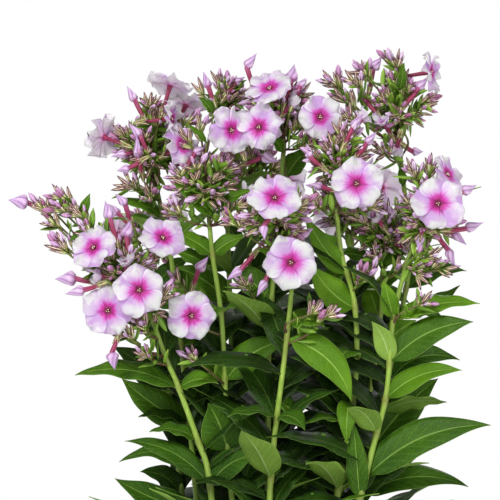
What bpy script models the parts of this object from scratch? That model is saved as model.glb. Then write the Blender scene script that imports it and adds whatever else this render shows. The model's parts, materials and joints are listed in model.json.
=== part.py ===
# A garden phlox in a plain nursery pot.
# Each stem with its leaves, each flower head and each open flower is one closed body.
# Metres, +Z up. The origin is the middle of the pot's underside, and the plant's front faces -Y.
# Sizes and places below are in millimetres; MM turns them into metres where solids are made.

import math
import random

import bmesh
import bpy
import numpy as np
from mathutils import Vector
from mathutils.bvhtree import BVHTree

MM = 0.001
FIT_GAP = 0.3

# Pot and soil
POT_HEIGHT = 168.0
POT_BASE_RADIUS = 70.0
POT_TOP_RADIUS = 95.0
POT_WALL = 3.0
POT_FLOOR = 4.0
RIM_HEIGHT = 14.0
RIM_PROUD = 3.0
RIM_CROWN = 0.6
POT_EDGE = 2.0
POT_STEPS = 32
DRAIN_RADIUS = 6.0
DRAIN_CIRCLE = 42.0
DRAIN_COUNT = 4
DRAIN_SIDES = 12
SOIL_TOP = 152.0
SOIL_DOME = 4.0
SOIL_EDGE_DROP = 2.0
STEM_BURIED = 40.0

# The plant was measured as seen from the front, from EYE_DISTANCE away and level with the
# height EYE_RISE. A seen height of 0 lies SEEN_BASE above the ground.
SEEN_BASE = 262.0
EYE_RISE = 150.0
EYE_DISTANCE = 1800.0

# Stems and the middle stalks of the flower heads
STEM_RADIUS = 2.5
STEM_TIP_RADIUS = 1.7
STEM_SIDES = 6
STEM_STEP = 38.0
STRAIGHT_ABOVE_SOIL = 12.0
STALK_TIP_RADIUS = 1.1
STALK_STEP = 16.0
STALK_KNEE = 6.0
LEAF_SPACING = 46.0
LEAF_CLEAR_OF_PAIR = 14.0
LOWEST_LEAF = -82.0

# Leaves
LEAF_THICK = 1.25
LEAF_FOLD = 0.22
LEAF_STATIONS = ((0.0, 0.12), (0.36, 1.0), (0.72, 0.66), (1.0, 0.0))
LEAF_LENGTH = 72.0
LEAF_WIDTH = 19.5

# Flowers
TUBE_LENGTH = 17.0
TUBE_RADIUS = 1.3
CALYX_LENGTH = 8.0
CALYX_ROOT = 0.9
CALYX_RADIUS = 1.9
CLOSED_CALYX_LENGTH = 6.4
NECK_RADIUS = 1.2
BUD_RIM = 2.2
PEDICEL_ROOT = 0.45
PEDICEL_RADIUS = 0.7
LOBE_OUTLINE = ((-36.0, 0.66, 0.0), (-22.0, 0.93, 0.7), (2.0, 1.0, 0.1), (24.0, 0.9, -0.6))
THROAT_DEPTH = 1.3
LIMB_THICK = 1.5
SMALL_BUD_LENGTH = 11.5
SMALL_BUD_RADIUS = 1.75
SMALL_BUD_SPACING = 2.2
FUNNEL_RADIUS = 4.6
FUNNEL_DEPTH = 6.0
FUNNEL_NECK = 1.5
UPWARD_PULL = 0.35
GOLDEN_ANGLE = math.pi * (3.0 - math.sqrt(5.0))

# Edges up to the first of these that works are closed up after joining. In a flower head, faces
# that lie flat to each other within FLAT_ANGLE are joined too. A stem keeps its own faces, which
# pass through the soil with little room.
TINY_EDGES = (0.5, 0.4, 0.35, 0.3, 0.25, 0.2, 0.15, 0.1, 0.05)
FLAT_ANGLE = 2.5

# What a solid keeps clear of other nodes while it is being placed
CLEARANCE = 0.35

# Stems as seen from the front: (across, seen height, depth). The first point is in the soil.
STEMS = {
    1: ((-14, -110, -12), (-20, -30, -18), (-25, 16, -22), (-31, 35, -25), (-43, 68, -32),
        (-50, 84, -36), (-55, 98, -39), (-60, 112, -42)),
    2: ((-3, -110, -29), (-9, -20, -24), (-14, 40, -21), (-15.5, 80, -18), (-17.5, 113, -18),
        (-22.5, 147, -18), (-24, 162, -18)),
    3: ((-27, -110, 6), (-32, 0, 8), (-40, 80, 10), (-48, 150, 8), (-54, 178, 6)),
    4: ((-10, -110, 26), (-10, 20, 30), (-12, 120, 30), (-15, 200, 28), (-17, 222, 27)),
    5: ((13, -110, -36), (12, 5, -36), (15, 40, -38), (20, 80, -44), (23, 105, -48), (25, 127, -51)),
    6: ((7, -110, -6), (11, 28, -8), (11, 80, -10), (13, 120, -10), (17, 170, -10), (20, 208, -9)),
    7: ((31, -110, -20), (48, -20, -23), (60, 45, -27), (64, 85, -28), (63, 115, -29), (60, 130, -30),
        (55, 147, -31), (52, 170, -33)),
    8: ((42, -110, -35), (56, -40, -36), (69, 13, -38), (76, 40, -38), (82, 65, -39), (86, 109, -39),
        (93, 138, -40)),
    9: ((47, -110, 4), (66, 0, 6), (80, 60, 12), (92, 118, 16), (96, 150, 17), (91, 200, 16)),
    10: ((31, -110, 12), (52, 0, 0), (71, 60, -10), (78, 110, -13), (79, 130, -14)),
    11: ((-27, -110, 34), (-43, 20, 48), (-55, 110, 58), (-58, 126, 60)),
    12: ((3, -110, 48), (0, 60, 60), (0, 165, 66)),
    13: ((33, -110, 38), (50, 20, 50), (60, 120, 58), (61, 146, 60)),
}

# Leaves that show: stem, seen height of the root, tip across and up, width, arch,
# how far the tip lies behind the root, and how far the face turns to the front.
SEEN_LEAVES = (
    (8, 109, 138, 118, 15, 4, -10, 0.8),
    (8, 109, 80, 132, 11, 2, -8, 0.5),
    (8, 82, 134, 107, 20, 6, -12, 0.9),
    (8, 82, 73, 107, 13, 3, -9, -0.6),
    (8, 60, 127, 78, 16, 6, -16, 0.8),
    (8, 40, 58, 54.5, 15, 5, -30, -0.8),
    (8, 13, 144.5, 45, 23, 9, -12, 0.9),
    (8, 0, 62, 47, 13, 2, -8, 0.4),
    (9, 126, 130, 137.5, 15, 6, 6, 0.8),
    (9, 112, 126, 129, 12, -3, -4, 0.7),
    (9, 110, 115, 110, 14, 4, 10, 0.8),
    (9, 68, 126, 84, 17, 10, -6, 0.9),
    (9, 52, 118, 58.5, 15, 4, -12, -0.6),
    (9, 30, 113, 73, 24, 3, 10, 0.9),
    (9, 2, 131, 8, 20, 9, -10, 0.9),
    (9, 10, 104, 29, 20, 3, 12, 0.9),
    (7, 45, 33, 46, 13, 4, -12, 0.4),
    (7, 58, 58, 33, 13, 10, -26, 0.6),
    (7, 85, 53, 80, 15, 7, -24, 0.7),
    (7, 115, 37, 141, 18, -3, -9, 0.8),
    (7, 135, 33, 171, 13, -2, -6, 0.8),
    (10, 108, 70, 131, 15, 2, 8, 0.7),
    (10, 84, 100, 108, 18, 3, 8, 0.8),
    (10, 84, 58, 104, 15, 3, 6, 0.7),
    (10, 52, 46, 80, 19, 3, 10, 0.8),
    (10, 28, 40, 46, 17, 4, 6, 0.7),
    (1, 67, -105, 75, 17, 7, -6, 0.7),
    (1, 67, -19, 70, 14, 4, -10, 0.8),
    (1, 36, -60.5, 41, 12, 4, -8, 0.6),
    (1, 9, 7, 27, 18, 5, -16, 0.9),
    (1, 9, -75, 35.5, 14, 7, -8, 0.8),
    (3, 12, -78.5, 23, 13, 11, -8, 0.7),
    (3, 45, -77, 73, 20, -2, -6, 0.9),
    (3, 46, -67, 50, 12, 4, -14, 0.5),
    (3, -8, -81, 13, 20, -2, -6, 0.9),
    (3, 92, -78, 108, 18, 4, -6, 0.8),
    (3, 92, -14, 112, 19, 4, 10, 0.8),
    (3, 132, -40, 112, 16, 8, 20, 0.7),
    (3, 171, -79, 180, 10, 2, -4, 0.7),
    (3, 166, -78, 168, 9, 2, 4, 0.6),
    (11, 2, -66, 17, 15, 5, -10, 0.8),
    (11, 60, -82, 92, 20, 4, -12, 0.8),
    (11, 78, -30, 98, 20, 3, -12, 0.8),
    (2, 28, -25, 58, 26, 2, -14, 1.6),
    (2, 71, 23, 96, 19, 5, -9, 0.9),
    (2, 71, -33, 84, 13, 3, -5, 0.5),
    (2, 113, 8, 117, 12, 3, -7, 0.3),
    (2, 113, -24, 104, 13, 7, -22, 0.6),
    (2, 147, -46, 160, 12, 2, -3, 0.7),
    (2, 147, -3, 158, 12, 2, -3, 0.7),
    (6, 54, -30, 56, 16, 4, 4, 0.1),
    (6, 31, -3, 8, 12, 5, -10, 0.6),
    (6, 13, 50, -5, 18, 6, 2, 0.8),
    (6, 118, -16, 138, 18, 4, 10, 0.8),
    (6, 150, 33, 175, 20, 3, 4, 0.8),
    (5, 97, 61, 59, 19, 8, -4, 0.8),
    (5, 50, -14, 50, 16, 4, -8, 0.3),
    (5, 50, 33, 42, 15, 4, -18, 0.6),
    (5, 106, 45, 104, 18, 4, -8, 0.8),
    (4, 118, -45, 140, 19, 3, 8, 0.8),
    (4, 84, -52, 92, 20, 5, -4, 0.8),
    (4, 84, 22, 104, 20, 4, -10, 0.8),
    (4, 40, 20, 70, 20, 3, -6, 0.8),
    (12, 96, 36, 110, 22, 5, -14, 0.9),
    (12, 96, -34, 120, 22, 5, -10, 0.9),
    (12, 58, 38, 76, 22, 5, -12, 0.9),
    (12, 58, -36, 72, 22, 5, -10, 0.9),
    (12, 20, 36, 36, 22, 5, -10, 0.9),
    (12, 20, -32, 40, 22, 5, -10, 0.9),
    (12, 134, 30, 150, 18, 4, -12, 0.9),
    (13, 92, 26, 96, 20, 6, -12, 0.9),
    (13, 52, 22, 60, 22, 6, -14, 0.9),
    (13, 52, 92, 82, 20, 4, -8, 0.9),
    (13, 14, 24, 26, 22, 6, -10, 0.9),
    (13, 120, 96, 118, 18, 6, -6, 0.9),
)

# Flower heads: middle and half sizes as seen (across, height, depth), side branches, buds on each
HEADS = {
    1: ((-77, 138, -44), (27, 24, 17), 5, 3),
    2: ((-27, 189, -20), (28, 24, 18), 7, 3),
    3: ((-61, 211, 4), (31, 31, 20), 7, 3),
    4: ((-18, 238, 25), (21, 18, 17), 5, 3),
    5: ((14, 169, -54), (23, 25, 15), 5, 3),
    6: ((18, 234, -8), (25, 22, 19), 7, 3),
    7: ((54, 203, -35), (23, 27, 17), 7, 3),
    8: ((106, 168, -42), (23, 25, 16), 7, 3),
    9: ((91, 236, 16), (22, 28, 19), 7, 3),
    10: ((83, 158, -13), (22, 21, 14), 5, 3),
    11: ((-61, 157, 62), (27, 27, 21), 5, 3),
    12: ((0, 196, 68), (27, 27, 21), 5, 3),
    13: ((62, 176, 62), (27, 27, 21), 5, 3),
}

# Open flowers: stem or head that carries it, middle (across, height, depth), facing, diameter
FLOWERS = (
    ("head", 1, (-66.5, 126, -66), (0.0, -1.0, 0.0), 31),
    ("head", 1, (-85.5, 113.5, -63), (-0.15, -1.0, 0.0), 30),
    ("head", 1, (-94.5, 152, -60), (-0.4, -0.8, 0.4), 28),
    ("head", 1, (-52, 158, -55), (0.25, -0.75, 0.55), 28),
    ("stem", 2, (-35, 110.5, -48), (0.15, -1.0, 0.0), 29),
    ("head", 2, (-10.5, 222, -32), (0.55, -0.8, 0.1), 29),
    ("head", 6, (5, 224, -36), (-0.3, -0.9, 0.2), 28),
    ("head", 6, (11.5, 248, -26), (-0.25, -0.6, 0.75), 29),
    ("head", 6, (42.5, 230, -34), (0.3, -0.95, 0.1), 27),
    ("head", 5, (15, 182, -76), (0.1, -0.85, 0.5), 32),
    ("head", 5, (24.5, 142.5, -76), (0.0, -1.0, 0.05), 32),
    ("head", 7, (64, 190, -62), (0.0, -1.0, 0.05), 31),
    ("head", 8, (113, 178, -66), (0.0, -1.0, 0.1), 31),
    ("head", 8, (119.5, 196, -46), (0.75, -0.5, 0.45), 26),
    ("head", 9, (110, 257, 12), (1.0, -0.35, 0.15), 24),
    ("head", 3, (-47.5, 250, -2), (0.25, 0.36, 0.9), 28),
    ("head", 3, (-38, 238, 14), (0.35, 0.5, 0.8), 26),
    ("head", 3, (-46, 229, -16), (0.95, -0.3, 0.1), 24),
    ("head", 3, (-40, 213, -24), (0.6, -0.7, 0.3), 26),
    ("head", 3, (-88.5, 218, 4), (-0.72, 0.62, 0.28), 28),
    ("head", 11, (-80, 160, 86), (-0.5, 0.8, 0.3), 29),
    ("head", 11, (-48, 166, 92), (0.3, 0.9, 0.2), 30),
    ("head", 11, (-66, 134, 88), (-0.2, 0.9, 0.1), 29),
    ("head", 12, (2, 214, 96), (0.0, 0.9, 0.45), 30),
    ("head", 12, (24, 192, 88), (0.6, 0.75, 0.1), 29),
    ("head", 12, (-20, 184, 92), (-0.4, 0.8, 0.2), 29),
    ("head", 13, (80, 188, 88), (0.5, 0.8, 0.3), 30),
    ("head", 13, (50, 172, 93), (-0.1, 0.95, 0.1), 29),
    ("head", 13, (86, 160, 78), (0.8, 0.5, 0.1), 28),
)

# Large closed buds: carrier, then tip, neck and tube end as seen (across, height), and radius
BUDS = (
    ("head", 3, (-74, 248.5), (-69, 240), (-64, 230), 3.0),
    ("head", 3, (-39.5, 256), (-46, 248), (-52, 236), 3.4),
    ("head", 6, (4, 268), (-2, 260), (2, 248), 3.3),
    ("head", 6, (26.5, 261.5), (25, 252), (21, 238), 4.0),
    ("head", 6, (33, 253), (30, 248), (26, 238), 3.0),
    ("head", 9, (79, 266), (74, 259), (72, 248), 3.8),
    ("head", 9, (64, 250), (68, 242), (76, 232), 3.0),
    ("head", 9, (107, 254), (101, 247), (93, 237), 3.0),
    ("head", 1, (-87, 179.5), (-84, 169), (-80, 155), 3.8),
    ("head", 1, (-145, 180), (-134, 178.5), (-125, 176), 5.0),
    ("head", 1, (-117, 132.5), (-105, 133), (-95, 131), 5.0),
    ("head", 1, (-111, 123.5), (-100, 126), (-91, 129), 3.6),
    ("head", 1, (-72, 168), (-74, 158), (-73, 149), 4.2),
    ("head", 3, (-83.5, 206), (-75, 208), (-67, 210), 3.0),
    ("head", 3, (-73, 226), (-66, 219), (-62, 210), 3.0),
    ("head", 3, (-68, 219), (-67, 206), (-65, 197), 3.0),
    ("head", 8, (140, 166.5), (130, 163), (120, 162), 3.4),
    ("head", 8, (136, 189), (128, 185), (118, 180), 3.6),
    ("head", 8, (123, 138.5), (119, 150), (113, 158), 3.0),
    ("head", 8, (130, 153), (122, 160), (114, 164), 3.0),
    ("stem", 2, (-25, 146), (-31, 138), (-34, 129), 3.8),
    ("head", 7, (33, 189), (43, 188), (50, 186), 3.0),
    ("head", 7, (34, 214), (36, 206), (43, 200), 3.0),
    ("head", 2, (-26, 213), (-33, 208), (-38, 200), 3.0),
    ("head", 9, (104, 209), (98, 209), (93.5, 212), 3.0),
    ("stem", 1, (-81, 78), (-83, 88), (-80, 96), 4.2),
    ("head", 8, (101, 150), (102, 158), (104, 166), 3.4),
    ("head", 10, (100, 148), (92, 152), (86, 155), 3.6),
    ("head", 5, (9, 156), (8, 164), (12, 170), 3.0),
    ("head", 2, (17, 203), (8, 206), (-2, 202), 4.0),
    ("head", 5, (-14, 132), (-6, 138), (2, 147), 3.0),
    ("head", 5, (4, 122), (9, 131), (13, 140), 3.0),
    ("head", 5, (38, 163), (31, 159), (24, 157), 3.0),
    ("head", 4, (-3, 254), (-9, 250), (-14, 243), 3.0),
    ("head", 4, (-28, 257), (-25, 248), (-22, 240), 3.0),
    ("head", 1, (-81, 184), (-75, 178), (-72, 168), 3.0),
    ("head", 3, (-80, 197.5), (-73, 199), (-66, 203), 3.0),
    ("head", 7, (76, 221), (70, 214), (64, 206), 3.0),
    ("head", 7, (68, 232), (62, 224), (57, 214), 3.0),
    ("head", 11, (-86, 178), (-79, 172), (-72, 165), 3.0),
    ("head", 12, (-10, 226), (-7, 217), (-4, 207), 3.0),
    ("head", 13, (74, 206), (70, 197), (66, 187), 3.0),
)

# Half-open flowers: carrier, mouth and tube end as seen (across, height)
FUNNELS = (
    ("head", 2, (0, 187), (-5, 176)),
    ("head", 1, (-75, 146), (-74, 133)),
    ("head", 1, (-95, 134), (-86, 134)),
    ("head", 6, (28, 240), (20, 232)),
    ("head", 7, (70, 232), (60, 220)),
    ("head", 9, (78, 230), (84, 220)),
    ("head", 9, (87, 208), (90, 218)),
    ("head", 10, (74, 172), (80, 164)),
)

# Extra bud clusters away from the heads: carrier, middle (across, height, depth), buds
CLUSTERS = (
    ("head", 1, (-114, 175, -44), 8),
    ("head", 1, (-111, 152, -46), 3),
    ("stem", 2, (-43, 130, -30), 3),
    ("stem", 6, (-2, 128, -26), 3),
    ("stem", 5, (38, 112, -60), 3),
    ("stem", 2, (-33, 84, -34), 3),
    ("stem", 1, (-62, 86, -46), 3),
    ("stem", 8, (103, 118, -52), 3),
    ("stem", 10, (72, 134, -26), 3),
)


def vary(*key):
    """A draw from -1 to 1 that depends only on its key."""
    return random.Random(repr(key)).uniform(-1.0, 1.0)


def seen(across, height, depth):
    """The place, in metres, of what shows at (across, height) when it lies at this depth."""
    scale = 1.0 + depth / EYE_DISTANCE
    rise = SEEN_BASE + EYE_RISE + (height - EYE_RISE) * scale
    return Vector((across * scale, depth, rise)) * MM


def seen_height(place):
    scale = 1.0 + place.y / MM / EYE_DISTANCE
    return (place.z / MM - SEEN_BASE - EYE_RISE) / scale + EYE_RISE


def bezier(start, middle, end, t):
    return start * (1 - t) ** 2 + middle * 2 * t * (1 - t) + end * t * t


def smooth(points, step):
    """Points about a step apart on a Catmull-Rom curve through the given ones."""
    ends = [points[0] * 2 - points[1]] + list(points) + [points[-1] * 2 - points[-2]]
    path = [points[0]]
    for a, b, c, d in zip(ends, ends[1:], ends[2:], ends[3:]):
        count = max(1, round((c - b).length / (step * MM)))
        for i in range(1, count + 1):
            t = i / count
            path.append(0.5 * (2 * b + (c - a) * t + (2 * a - 5 * b + 4 * c - d) * t * t
                               + (3 * b - a - 3 * c + d) * t ** 3))
    return path


def stem_path(number):
    """From the buried end, straight through the soil's surface, then along the measured points."""
    root, *others = [Vector(p) for p in STEMS[number]]
    surface = Vector((root.x, root.z, SOIL_TOP)) * MM
    rest = [seen(*p) for p in others]
    lean = (rest[0] - surface).normalized()
    lean = (lean + Vector((0, 0, 1.5))).normalized()
    buried = surface - lean * (STEM_BURIED * MM / lean.z)
    above = surface + lean * (STRAIGHT_ABOVE_SOIL * MM / lean.z)
    return [buried] + smooth([above] + rest, STEM_STEP)


def stem_radii(path):
    """Full size up to the soil's surface, then thinner towards the tip."""
    count = len(path) - 1
    taper = STEM_TIP_RADIUS - STEM_RADIUS
    return [STEM_RADIUS + taper * max(0, i - 1) / count for i in range(count + 1)]


def at_height(path, height):
    """The place and direction on a stem or a flower stalk at this seen height."""
    for a, b in zip(path, path[1:]):
        low, high = seen_height(a), seen_height(b)
        if height <= high or b is path[-1]:
            share = min(1.0, max(0.0, (height - low) / (high - low)))
            return a.lerp(b, share), (b - a).normalized()


def ring(middle, direction, reference, radius, sides):
    across = (reference - direction * reference.dot(direction)).normalized()
    other = direction.cross(across)
    angles = [2 * math.pi * k / sides for k in range(sides)]
    return [middle + (across * math.cos(a) + other * math.sin(a)) * radius for a in angles]


def loft(stations, sides=4, swell=0.0):
    """A closed solid through rings of (middle, radius in mm). A radius of 0 at the end is a point."""
    points = []
    faces = []
    reference = Vector((0.31, 0.87, 0.38))
    for i, (middle, radius) in enumerate(stations):
        before = stations[max(0, i - 1)][0]
        after = stations[min(len(stations) - 1, i + 1)][0]
        direction = (after - before).normalized()
        if radius == 0.0:
            points.append(middle + direction * swell * MM)
            continue
        loop = ring(middle, direction, reference, (radius + swell) * MM, sides)
        reference = loop[0] - middle
        points += loop
    count = len(stations)
    rings = count - 1 if stations[-1][1] == 0.0 else count
    faces.append([k for k in reversed(range(sides))])
    for i in range(rings - 1):
        for k in range(sides):
            a = i * sides + k
            b = i * sides + (k + 1) % sides
            faces.append([a, b, b + sides])
            faces.append([a, b + sides, a + sides])
    last = (rings - 1) * sides
    if rings < count:
        faces += [[last + k, last + (k + 1) % sides, rings * sides] for k in range(sides)]
    else:
        faces.append([last + k for k in range(sides)])
    return points, faces


def tube(points, radii, sides):
    """A round run through points, from a bevelled curve, as (points, faces)."""
    curve = bpy.data.curves.new("run", "CURVE")
    curve.dimensions = "3D"
    curve.bevel_depth = MM
    curve.bevel_resolution = sides // 2 - 2
    curve.use_fill_caps = True
    spline = curve.splines.new("POLY")
    spline.points.add(len(points) - 1)
    for slot, place, radius in zip(spline.points, points, radii):
        slot.co = (*place, 1.0)
        slot.radius = radius
    run = bpy.data.objects.new("run", curve)
    bpy.context.scene.collection.objects.link(run)
    bpy.context.view_layer.update()
    mesh = bpy.data.meshes.new_from_object(run.evaluated_get(bpy.context.evaluated_depsgraph_get()))
    shape = bmesh.new()
    shape.from_mesh(mesh)
    bmesh.ops.remove_doubles(shape, verts=shape.verts, dist=0.01 * MM)
    shape.verts.index_update()
    solid = ([v.co.copy() for v in shape.verts], [[v.index for v in f.verts] for f in shape.faces])
    shape.free()
    bpy.data.objects.remove(run)
    bpy.data.curves.remove(curve)
    bpy.data.meshes.remove(mesh)
    return solid


def leaf(root, tip, width, arch, face, swell=0.0):
    """A folded, arched blade: four points a section, split alike on its upper and lower side."""
    chord = tip - root
    upright = Vector((0.0, 0.0, 1.0)) if abs(chord.normalized().z) < 0.9 else face
    rise = (upright - chord * (upright.dot(chord) / chord.length_squared)).normalized()
    middle = (root + tip) / 2 + rise * (2 * arch * MM)
    points = []
    faces = []
    for t, share in LEAF_STATIONS:
        place = bezier(root, middle, tip, t)
        along = ((middle - root) * (1 - t) + (tip - middle) * t).normalized()
        normal = (face - along * face.dot(along)).normalized()
        side = along.cross(normal)
        if share == 0.0:
            points.append(place)
            continue
        half = (width / 2 * share + swell) * MM
        thick = (LEAF_THICK / 2 + swell) * MM
        lift = normal * (LEAF_FOLD * half)
        points += [place - side * half + lift, place + normal * thick,
                   place + side * half + lift, place - normal * thick]
    faces += [[0, 1, 3], [1, 2, 3]]
    sections = len(LEAF_STATIONS) - 1
    for i in range(sections - 1):
        a, b = 4 * i, 4 * i + 4
        for edge in (0, 2):
            for rib in (1, 3):
                faces.append([a + edge, a + rib, b + rib])
                faces.append([a + edge, b + rib, b + edge])
    last = 4 * (sections - 1)
    faces += [[last + k, last + (k + 1) % 4, last + 4] for k in range(4)]
    return points, faces


def flower(middle, facing, diameter, spin, swell=0.0):
    """Five overlapping lobes in one thin limb, on a straight tube. The tube's end comes last."""
    facing = facing.normalized()
    start = Vector((0.0, 0.0, 1.0)) if abs(facing.z) < 0.9 else Vector((0.0, 1.0, 0.0))
    up = (start - facing * start.dot(facing)).normalized()
    right = up.cross(facing)
    radius = diameter / 2 + swell
    points = [middle + facing * ((swell - THROAT_DEPTH) * MM)]
    for lobe in range(5):
        for turn, share, lift in LOBE_OUTLINE:
            angle = math.radians(spin + 72 * lobe + turn)
            reach = (right * math.sin(angle) + up * math.cos(angle)) * (radius * share * MM)
            points.append(middle + reach + facing * (lift * MM))
    outline = 4 * 5
    throat = middle - facing * ((THROAT_DEPTH + LIMB_THICK + swell) * MM)
    end = middle - facing * (TUBE_LENGTH * MM)
    for place in (throat, end):
        for lobe in range(5):
            angle = math.radians(spin + 72 * lobe - 36)
            reach = (right * math.sin(angle) + up * math.cos(angle)) * ((TUBE_RADIUS + swell) * MM)
            points.append(place + reach)
    faces = [[0, 1 + k, 1 + (k + 1) % outline] for k in range(outline)]
    first = 1 + outline
    for lobe in range(5):
        here, there = first + lobe, first + (lobe + 1) % 5
        edge = [1 + (4 * lobe + k) % outline for k in range(5)]
        faces += [[edge[1], edge[0], here], [edge[2], edge[1], here], [edge[2], here, there],
                  [edge[3], edge[2], there], [edge[4], edge[3], there]]
        faces.append([here, here + 5, there])
        faces.append([there, here + 5, there + 5])
    faces.append([first + 5 + lobe for lobe in range(5)])
    return points, faces


def crosses_itself(points, faces):
    tree = BVHTree.FromPolygons(points, faces)
    return any(not set(faces[a]) & set(faces[b]) for a, b in tree.overlap(tree) if a < b)


class Layout:
    """Solids of each node as they are placed, and a test for whether a new one is clear of the rest."""

    def __init__(self):
        self.solids = {}
        self.owners = []
        self.trees = []
        self.lows = []
        self.highs = []
        self.dropped = []

    def add(self, node, solid, tested=None, carrier=False):
        self.solids.setdefault(node, []).append(solid)
        self.guard(node, tested or solid, carrier)

    def guard(self, node, solid, carrier=False):
        points = np.array([tuple(p) for p in solid[0]])
        self.owners.append((node, carrier))
        self.trees.append(BVHTree.FromPolygons(solid[0], solid[1]))
        self.lows.append(points.min(0))
        self.highs.append(points.max(0))

    def met(self, solid):
        """The (node, carrier) of each solid that this one meets."""
        points = np.array([tuple(p) for p in solid[0]])
        low, high = points.min(0), points.max(0)
        near = np.all(np.array(self.lows) <= high, axis=1) & np.all(np.array(self.highs) >= low, axis=1)
        tree = BVHTree.FromPolygons(solid[0], solid[1])
        return [self.owners[i] for i in np.flatnonzero(near) if tree.overlap(self.trees[i])]

    def place(self, node, make, options, carrier=False):
        """Adds the first option that is clear of other nodes, and if one is, of its own node's pieces."""
        second = None
        for option in options:
            if crosses_itself(*make(option, 0.0)):
                continue
            met = self.met(make(option, CLEARANCE))
            if all(owner == node for owner, carries in met):
                if all(carries for owner, carries in met):
                    self.add(node, make(option, 0.0), carrier=carrier)
                    return option
                second = option if second is None else second
        if second is None:
            self.dropped.append((node, make.__name__))
            return None
        self.add(node, make(second, 0.0), carrier=carrier)
        return second


def node_name(kind, number):
    names = {"stem": "leafy_stem_%02d", "head": "flower_head_%02d", "flower": "open_flower_%02d"}
    return names[kind] % number


def head_place(number, share, direction):
    """A point of a head: share of the way from its middle to its outside, in a direction."""
    middle, sizes = HEADS[number][:2]
    place = [m + share * s * d for m, s, d in zip(middle, sizes, (direction.x, direction.z, direction.y))]
    return seen(*place)


def front_depth(number, across, height):
    """The depth of a head's front where it is seen at (across, height)."""
    (x, z, depth), (half_x, half_z, half_depth) = HEADS[number][:2]
    left = 1.0 - ((across - x) / half_x) ** 2 - ((height - z) / half_z) ** 2
    return depth - half_depth * math.sqrt(max(0.0, left))


def stalk_path(number, stem):
    """A head's middle stalk, from just above its stem's tip to near the head's top."""
    x, z, depth = HEADS[number][0]
    half = HEADS[number][1][1]
    rise = (stem[-1] - stem[-2]).normalized()
    foot = stem[-1] + rise * (FIT_GAP * MM)
    knee = foot + rise * (STALK_KNEE * MM)
    return [foot] + smooth([knee, seen(x, z, depth), seen(x, z + 0.6 * half, depth)], STALK_STEP)


def carrier_root(paths, kind, number, base):
    """Where a side stalk that ends at base leaves its stem or its head's stalk."""
    path = paths[kind, number]
    height = seen_height(base)
    spread = min((Vector((base.x, base.y)) - Vector((p.x, p.y))).length for p in path) / MM
    low, high = seen_height(path[0]) + 2.0, seen_height(path[-1])
    return at_height(path, min(high, max(low, height - 0.7 * spread - 2.0)))[0]


def side_stalk(root, base, bend):
    """A side stalk's rings from its carrier: straight, or pushed aside in its middle."""
    rings = [(root, PEDICEL_ROOT)]
    if bend.length > 0:
        rings.append(((root + base) / 2 + bend, PEDICEL_RADIUS))
    return rings


def place_stems(layout, paths):
    for number in STEMS:
        path = stem_path(number)
        paths["stem", number] = path
        radii = stem_radii(path)
        tested = tube(path, [radius + CLEARANCE for radius in radii], STEM_SIDES)
        layout.add(node_name("stem", number), tube(path, radii, STEM_SIDES), tested, True)


def place_stalks(layout, paths):
    for number in HEADS:
        path = stalk_path(number, paths["stem", number])
        paths["head", number] = path
        taper = (STALK_TIP_RADIUS - STEM_TIP_RADIUS) / (len(path) - 1)
        radii = [STEM_TIP_RADIUS + taper * i for i in range(len(path))]
        layout.add(node_name("head", number), tube(path, radii, 4), carrier=True)


def place_flowers(layout, paths):
    """Each open flower, then its calyx and side stalk on what carries it."""
    for index, (kind, number, middle, facing, diameter) in enumerate(FLOWERS):
        node = node_name("flower", index + 1)
        facing = Vector(facing).normalized()
        spin = 36.0 * vary("spin", index)

        def open_flower(shift, swell):
            return flower(seen(middle[0], middle[1], middle[2] + shift), facing, diameter, spin, swell)

        shift = layout.place(node, open_flower, (0, -4, 4, -8, 8, -12, 12, -16, 16, -22, 22))
        if shift is None:
            continue
        centre = seen(middle[0], middle[1], middle[2] + shift)
        top = centre - facing * ((TUBE_LENGTH + FIT_GAP) * MM)
        base = top - facing * (CALYX_LENGTH * MM)
        root = carrier_root(paths, kind, number, base)

        def calyx(bend, swell):
            rings = side_stalk(root, base, bend) + [(base, CALYX_ROOT), (top, CALYX_RADIUS)]
            return loft(rings, 4, swell)

        layout.place(node_name(kind, number), calyx, bends())


def bends():
    """Ways to push the middle of a side stalk aside, the straight one first."""
    ways = [Vector((0, 0, 0))]
    for size in (4, 8, 13):
        for k in range(6):
            angle = math.pi * k / 3
            ways.append(Vector((math.cos(angle), math.sin(angle), 0.3 * math.sin(2 * angle))) * (size * MM))
    return ways


def shifts(*sizes):
    return [0.0] + [sign * size for size in sizes for sign in (-1, 1)]


def place_leaf(layout, paths, number, height, tip, width, arch, reach, turn):
    """A leaf that shows, by its root, its tip and the way its face turns."""
    root = at_height(paths["stem", number], height)[0]
    depth = root.y / MM + reach

    def blade(option, swell):
        deeper, higher, bend = option
        end = seen(tip[0], tip[1] + higher, depth + deeper)
        level = 1.0 - abs((end - root).normalized().z)
        face = Vector((0.0, -abs(turn), level if turn > 0 else -level)).normalized()
        return leaf(root, end, width, arch + bend, face, swell)

    options = [(deeper, higher, bend) for higher in shifts(3, 6) for bend in (0, 4, -3)
               for deeper in shifts(6, 12, 19, 27)]
    layout.place(node_name("stem", number), blade, options)


def place_pairs(layout, paths, number):
    """Opposite pairs of leaves by rule, each pair turned a quarter from the one below."""
    path = paths["stem", number]
    taken = [row[1] for row in SEEN_LEAVES if row[0] == number]
    height = LOWEST_LEAF + 8 * vary("lowest", number)
    top = seen_height(path[-1]) - 14
    pair = 0
    while height < top:
        if all(abs(height - other) > LEAF_CLEAR_OF_PAIR for other in taken):
            for side in (0, 1):
                rule_leaf(layout, path, number, pair, side, height)
        pair += 1
        height += LEAF_SPACING + 5 * vary("space", number, pair)


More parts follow.
